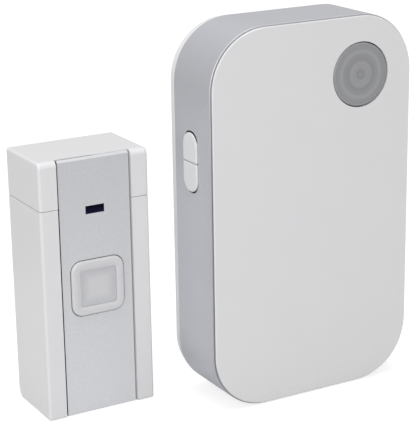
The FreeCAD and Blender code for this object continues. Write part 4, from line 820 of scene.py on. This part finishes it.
def screw(centre, head_level, way, tip_level):
    """Screw along Y: rings of points whose head face sinks into a cross.

    The head's face is a polar grid. A point sinks by the recess's depth where its distance across either
    arm is under half an arm's width and its distance along is under an arm's length, with soft flanks.
    The shaft's radius runs between core and thread as a triangle wave of the height along it."""
    turn = np.linspace(0, 2 * np.pi, SCREW_POINTS, endpoint=False)
    reach = np.linspace(0, HEAD_FACE, HEAD_STEPS)
    across, up = np.outer(reach, np.cos(turn)), np.outer(reach, np.sin(turn))

    def arm(lengthwise, beside):
        inside = np.clip((CROSS_HALF + CROSS_FLANK - np.abs(beside)) / CROSS_FLANK, 0, 1)
        return inside * np.clip((CROSS_ARM + CROSS_FLANK - np.abs(lengthwise)) / CROSS_FLANK, 0, 1)

    sink = CROSS_DEPTH * np.maximum(arm(across, up), arm(up, across))
    sink = sink + HEAD_DOME * (reach[:, None] / SCREW_HEAD_RADIUS) ** 2
    face = np.stack([across, sink, up], 2)
    length = abs(tip_level - head_level)
    depth = np.arange(SCREW_HEAD, length - SCREW_TIP, THREAD_PITCH / 4)
    thread = SCREW_CORE + (SCREW_RADIUS - SCREW_CORE) * np.abs(2 * ((depth / THREAD_PITCH) % 1) - 1)
    rest = [(SCREW_HEAD_RADIUS, HEAD_EDGE), (SCREW_HEAD_RADIUS, SCREW_HEAD), (SCREW_RADIUS, SCREW_HEAD)]
    rest = np.array([*rest, *list(zip(thread, depth))[1:], (0.0, length)])
    shaft = np.stack([np.outer(rest[:, 0], np.cos(turn)), np.repeat(rest[:, 1:], SCREW_POINTS, 1),
                      np.outer(rest[:, 0], np.sin(turn))], 2)
    points = np.concatenate([face, shaft])
    points[:, :, 1] = head_level + way * points[:, :, 1]
    return skin(points + np.array([centre[0], 0, centre[1]]))


def screw_places(node):
    """Centres of four screws, worked out from the corners of their box and the head's radius."""
    low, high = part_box(node)
    inset = SCREW_HEAD_RADIUS
    return [(x, z) for x in (low.x + inset, high.x - inset) for z in (low.z + inset, high.z - inset)]


LOW_SCREW_INSET = 0.0025

screw_finish = plated("screw_zinc", (0.5, 0.5, 0.52, 1), (0.66, 0.66, 0.69, 1), gloss=(0.22, 0.36))
housing_low, housing_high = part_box("housing_screws")
housing_places = [(x + (LOW_SCREW_INSET if x < 0 else -LOW_SCREW_INSET) * (z < housing_high.z / 2), z)
                  for x, z in screw_places("housing_screws")]
make_piece("cover_screws", [screw(place, housing_high.y, -1, housing_low.y) for place in housing_places],
           screw_finish, "chime_housing", "screw_steel", "housing_screws")
post_low, post_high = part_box("chime_board_screws")
post_places = [(x, (post_low.z + post_high.z) / 2)
               for x in (post_low.x + SCREW_HEAD_RADIUS, post_high.x - SCREW_HEAD_RADIUS)]
make_piece("chime_post_screws", [screw(place, post_high.y, -1, post_low.y) for place in post_places],
           screw_finish, "chime_housing", "screw_steel", "chime_board_screws")
push_low, push_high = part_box("push_board_screws")
make_piece("push_post_screws",
           [screw(place, push_low.y, 1, push_high.y) for place in screw_places("push_board_screws")],
           screw_finish, "push_back", "screw_steel", "push_board_screws")

# Cells of the chime: three AA cells side by side, the middle one turned over. Each is a steel can in a
# shrunk two-tone plastic jacket that curls over its shoulders, with a pressed cap at one end and a flat
# foot at the other.

CELL_RADIUS = 0.00725
CELL_LENGTH = 0.0495
CELL_TIP = 0.0011
TIP_RADIUS = 0.0027
TIP_ROUND = 0.0003
TIP_SPREAD = 0.0004
CAP_SINK = 0.0004
CAP_WALL = 0.0006
FOOT_DISH = 0.00025
FOOT_ROUND = 0.0005
FOOT_EDGE = 0.0002
FOOT_WALL = 0.0008
CELL_CURL = 0.0006
CELL_MOUTH = CELL_RADIUS - 0.0019
JACKET_WALL = 0.0001
JACKET_BAND = 0.0365
JACKET_BAND_EDGE = 0.00015
JACKET_BODY = (0.03, 0.085, 0.07, 1)
JACKET_END = (0.42, 0.43, 0.42, 1)

cells_low, cells_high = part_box("aa_cells")
cell_pitch = (cells_high.x - cells_low.x - 2 * CELL_RADIUS) / 2
cell_y = (cells_low.y + cells_high.y) / 2
jacket_profile = [(CELL_MOUTH, -JACKET_WALL), (CELL_MOUTH, JACKET_WALL)]
jacket_profile += [(CELL_RADIUS - CELL_CURL * (1 - math.sin(t)),
                    CELL_CURL * (1 - math.cos(t))) for t in QUARTER]
jacket_profile += [(CELL_RADIUS, share * CELL_LENGTH) for share in np.linspace(0.04, 0.96, 24)]
jacket_profile += [(CELL_RADIUS - CELL_CURL * (1 - math.cos(t)),
                    CELL_LENGTH - CELL_CURL * (1 - math.sin(t))) for t in QUARTER]
jacket_profile += [(CELL_MOUTH, CELL_LENGTH - JACKET_WALL), (CELL_MOUTH, CELL_LENGTH - CAP_SINK)]
foot_profile = [(0, FOOT_DISH), (CELL_MOUTH - FOOT_EDGE - FOOT_ROUND, FOOT_DISH),
                (CELL_MOUTH - FOOT_EDGE, 0), (CELL_MOUTH, 0), (CELL_MOUTH, FOOT_WALL), (0, FOOT_WALL)]
cap_level = CELL_LENGTH - CAP_SINK
cap_profile = [(0, cap_level - CAP_WALL), (CELL_MOUTH, cap_level - CAP_WALL), (CELL_MOUTH, cap_level),
               (TIP_RADIUS + TIP_SPREAD, cap_level), (TIP_RADIUS, CELL_LENGTH),
               (TIP_RADIUS, CELL_LENGTH + CELL_TIP - TIP_ROUND),
               (TIP_RADIUS - TIP_ROUND, CELL_LENGTH + CELL_TIP), (0, CELL_LENGTH + CELL_TIP)]


def stand_up(profile, number):
    """Turn one cell's profile round its line; the middle cell's is turned over."""
    rows = np.array(profile, float)
    upright = number != 1
    foot = cells_high.z - CELL_LENGTH - CELL_TIP if upright else cells_low.z
    if not upright:
        rows[:, 1] = CELL_LENGTH + CELL_TIP - rows[:, 1]
    return turned(rows, (cells_low.x + CELL_RADIUS + number * cell_pitch, cell_y, foot), "z")


jacket, tree, shader, grain = grained_plastic(
    "cell_jacket", (0.93, 0.93, 0.93, 1), (1, 1, 1, 1), 0.16, 0.26, 260.0, 0.00004)
band = place_group(tree, measure_group, Start=JACKET_BAND, Stop=JACKET_BAND + JACKET_BAND_EDGE)
jacket_tone = mixed(tree, band.outputs["Share"], JACKET_BODY, JACKET_END)
jacket_tone = mixed(tree, 1.0, jacket_tone, grain.outputs["Color"], "MULTIPLY")
tree.links.new(jacket_tone, shader.inputs["Base Color"])
jacket_measure = np.repeat(np.array(jacket_profile)[:, 1], TURN_POINTS)
make_piece("cell_jackets", [stand_up(jacket_profile, number) for number in range(3)], jacket,
           "chime_housing", "cell_jacket", "aa_cells", measure=[jacket_measure] * 3)
cell_steel = plated("cell_steel", (0.6, 0.59, 0.57, 1), (0.72, 0.71, 0.69, 1), gloss=(0.15, 0.28))
make_piece("cell_caps", [stand_up(cap_profile, number) for number in range(3)], cell_steel,
           "chime_housing", "cell_jacket")
make_piece("cell_feet", [stand_up(foot_profile, number) for number in range(3)], cell_steel,
           "chime_housing", "cell_jacket")

# Coin cell of the push: a stainless steel can with a rolled edge and a smaller lid, turned face down on
# its contact. Fine turning lines run round its faces.

COIN_ROLL = 0.0005
COIN_LID = 0.0015
COIN_LID_STEP = 0.0004
COIN_BEVEL = 0.0003
TURNING_PITCH = 0.00018
TURNING_RELIEF = 0.000006

coin_low, coin_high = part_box("coin_cell")
coin_radius = (coin_high.x - coin_low.x) / 2
coin_wall = coin_high.y - coin_low.y
coin_profile = [(0, 0), (coin_radius - COIN_ROLL, 0)]
coin_profile += [(coin_radius - COIN_ROLL * (1 - math.sin(t)), COIN_ROLL * (1 - math.cos(t)))
                 for t in QUARTER[1:]]
coin_profile += [(coin_radius, coin_wall - COIN_LID_STEP - COIN_BEVEL),
                 (coin_radius - COIN_BEVEL, coin_wall - COIN_LID_STEP),
                 (coin_radius - COIN_LID, coin_wall - COIN_LID_STEP),
                 (coin_radius - COIN_LID - COIN_BEVEL, coin_wall), (0, coin_wall)]
coin_finish, tree, shader = surfaced(
    "coin_steel", metal_group, 1.0, (0.58, 0.58, 0.57, 1), (0.68, 0.68, 0.67, 1), (0.2, 0.32), 0.0)[:3]
turning = place_group(tree, ring_group, Centre=(coin_low + coin_high) / 2, Pitch=TURNING_PITCH)
raise_surface(tree, shader, turning.outputs["Share"], TURNING_RELIEF)
make_piece("coin_can", [turned(coin_profile, ((coin_low.x + coin_high.x) / 2, coin_low.y,
                                              (coin_low.z + coin_high.z) / 2), "y")],
           coin_finish, "push_back", "coin_steel", "coin_cell")

# Resonator of the push: a small round can, drawn from tinned steel and pressed over its header. It stands
# beside the chip on the board's front and is soldered there.

resonator_finish = plated("resonator_can", (0.55, 0.55, 0.54, 1), (0.66, 0.66, 0.65, 1), gloss=(0.18, 0.3))
dress(resonator_finish, "push_resonator")

# Studio: a pale floor that keeps the soft shadow of the set and fades to white, an even white surround,
# two softboxes, a grey card behind the set that only its gloss sees, and the camera of the photograph.

FLOOR_REACH = 3.0
FLOOR_TONE = (0.7, 0.7, 0.7, 1)
FLOOR_SHADOW_TONE = (0.42, 0.42, 0.42, 1)
FLOOR_GLOW = 0.74
SURROUND_LIGHT = 0.56
CARD_HALF_WIDTH = 0.7
CARD_HEIGHT = 0.8
CARD_PLACE = 0.15
CARD_TONE = 0.4
CAMERA_PLACE = (-0.262213, -0.461855, 0.226354)
CAMERA_TURN = (73.062, 0.923, -29.654)
CAMERA_LENS = 131.098

studio = bpy.context.scene


def seen_by(tree, *rays):
    """Return 1 for camera rays and for the other kinds of ray that see a surface as plain white."""
    path = tree.nodes.new("ShaderNodeLightPath")
    total = path.outputs["Is Camera Ray"]
    for ray in rays:
        total = worked(tree, "MAXIMUM", total, path.outputs[ray])
    return total


def sheet(name, corners, material):
    """Flat sheet between four corners, which belongs to the studio and not to the set."""
    mesh = bpy.data.meshes.new(name)
    mesh.from_pydata(corners, [], [(0, 1, 2, 3)])
    mesh.materials.append(material)
    piece = bpy.data.objects.new(name, mesh)
    studio.collection.objects.link(piece)
    return piece


floor_paint = bpy.data.materials.new("floor_paint")
floor_paint.use_nodes = True
tree = floor_paint.node_tree
tree.nodes.clear()
bounce = tree.nodes.new("ShaderNodeBsdfDiffuse")
bounce.inputs["Color"].default_value = FLOOR_TONE
shadow = tree.nodes.new("ShaderNodeBsdfDiffuse")
shadow.inputs["Color"].default_value = FLOOR_SHADOW_TONE
glow = tree.nodes.new("ShaderNodeEmission")
glow.inputs["Strength"].default_value = FLOOR_GLOW
white = tree.nodes.new("ShaderNodeAddShader")
choice = tree.nodes.new("ShaderNodeMixShader")
result = tree.nodes.new("ShaderNodeOutputMaterial")
tree.links.new(shadow.outputs[0], white.inputs[0])
tree.links.new(glow.outputs[0], white.inputs[1])
tree.links.new(seen_by(tree, "Is Transmission Ray"), choice.inputs[0])
tree.links.new(bounce.outputs[0], choice.inputs[1])
tree.links.new(white.outputs[0], choice.inputs[2])
tree.links.new(choice.outputs[0], result.inputs["Surface"])
sheet("floor", [(-FLOOR_REACH, -FLOOR_REACH, 0), (FLOOR_REACH, -FLOOR_REACH, 0),
                (FLOOR_REACH, FLOOR_REACH, 0), (-FLOOR_REACH, FLOOR_REACH, 0)], floor_paint)

surround = bpy.data.worlds.new("surround")
studio.world = surround
surround.use_nodes = True
tree = surround.node_tree
light = tree.nodes["Background"]
light.inputs["Color"].default_value = (1, 1, 1, 1)
level = ramp(tree, seen_by(tree, "Is Glossy Ray", "Is Transmission Ray"), low=SURROUND_LIGHT)
tree.links.new(level, light.inputs["Strength"])


def softbox(name, place, aim, size, power):
    """Hang a square area lamp at a place and turn it to a point."""
    lamp = bpy.data.lights.new(name, "AREA")
    lamp.size = size
    lamp.energy = power
    stand = bpy.data.objects.new(name, lamp)
    stand.location = place
    way = Vector(aim) - Vector(place)
    stand.rotation_euler = way.to_track_quat("-Z", "Y").to_euler()
    studio.collection.objects.link(stand)


softbox("overhead_softbox", (-0.1, 0.0, 1.1), (0.0, 0.0, 0.06), 0.8, 5.7)
softbox("left_front_softbox", (-0.7, -0.75, 0.35), (0.0, 0.0, 0.05), 0.7, 4.05)

card_paint, tree, shader = new_material("card_paint", (0, 0, 0, 1), 1.0)
shader.inputs["Emission Color"].default_value = (1, 1, 1, 1)
shader.inputs["Emission Strength"].default_value = CARD_TONE
card = sheet("grey_card", [(-CARD_HALF_WIDTH, CARD_PLACE, 0), (CARD_HALF_WIDTH, CARD_PLACE, 0),
                           (CARD_HALF_WIDTH, CARD_PLACE, CARD_HEIGHT),
                           (-CARD_HALF_WIDTH, CARD_PLACE, CARD_HEIGHT)], card_paint)
card.visible_camera = False
card.visible_diffuse = False
card.visible_shadow = False
card.visible_transmission = False

camera_data = bpy.data.cameras.new("camera")
camera_data.lens = CAMERA_LENS
camera_data.sensor_width = 36.0
camera = bpy.data.objects.new("camera", camera_data)
camera.location = CAMERA_PLACE
camera.rotation_euler = [math.radians(angle) for angle in CAMERA_TURN]
studio.collection.objects.link(camera)
studio.camera = camera
studio.view_settings.view_transform = "Standard"
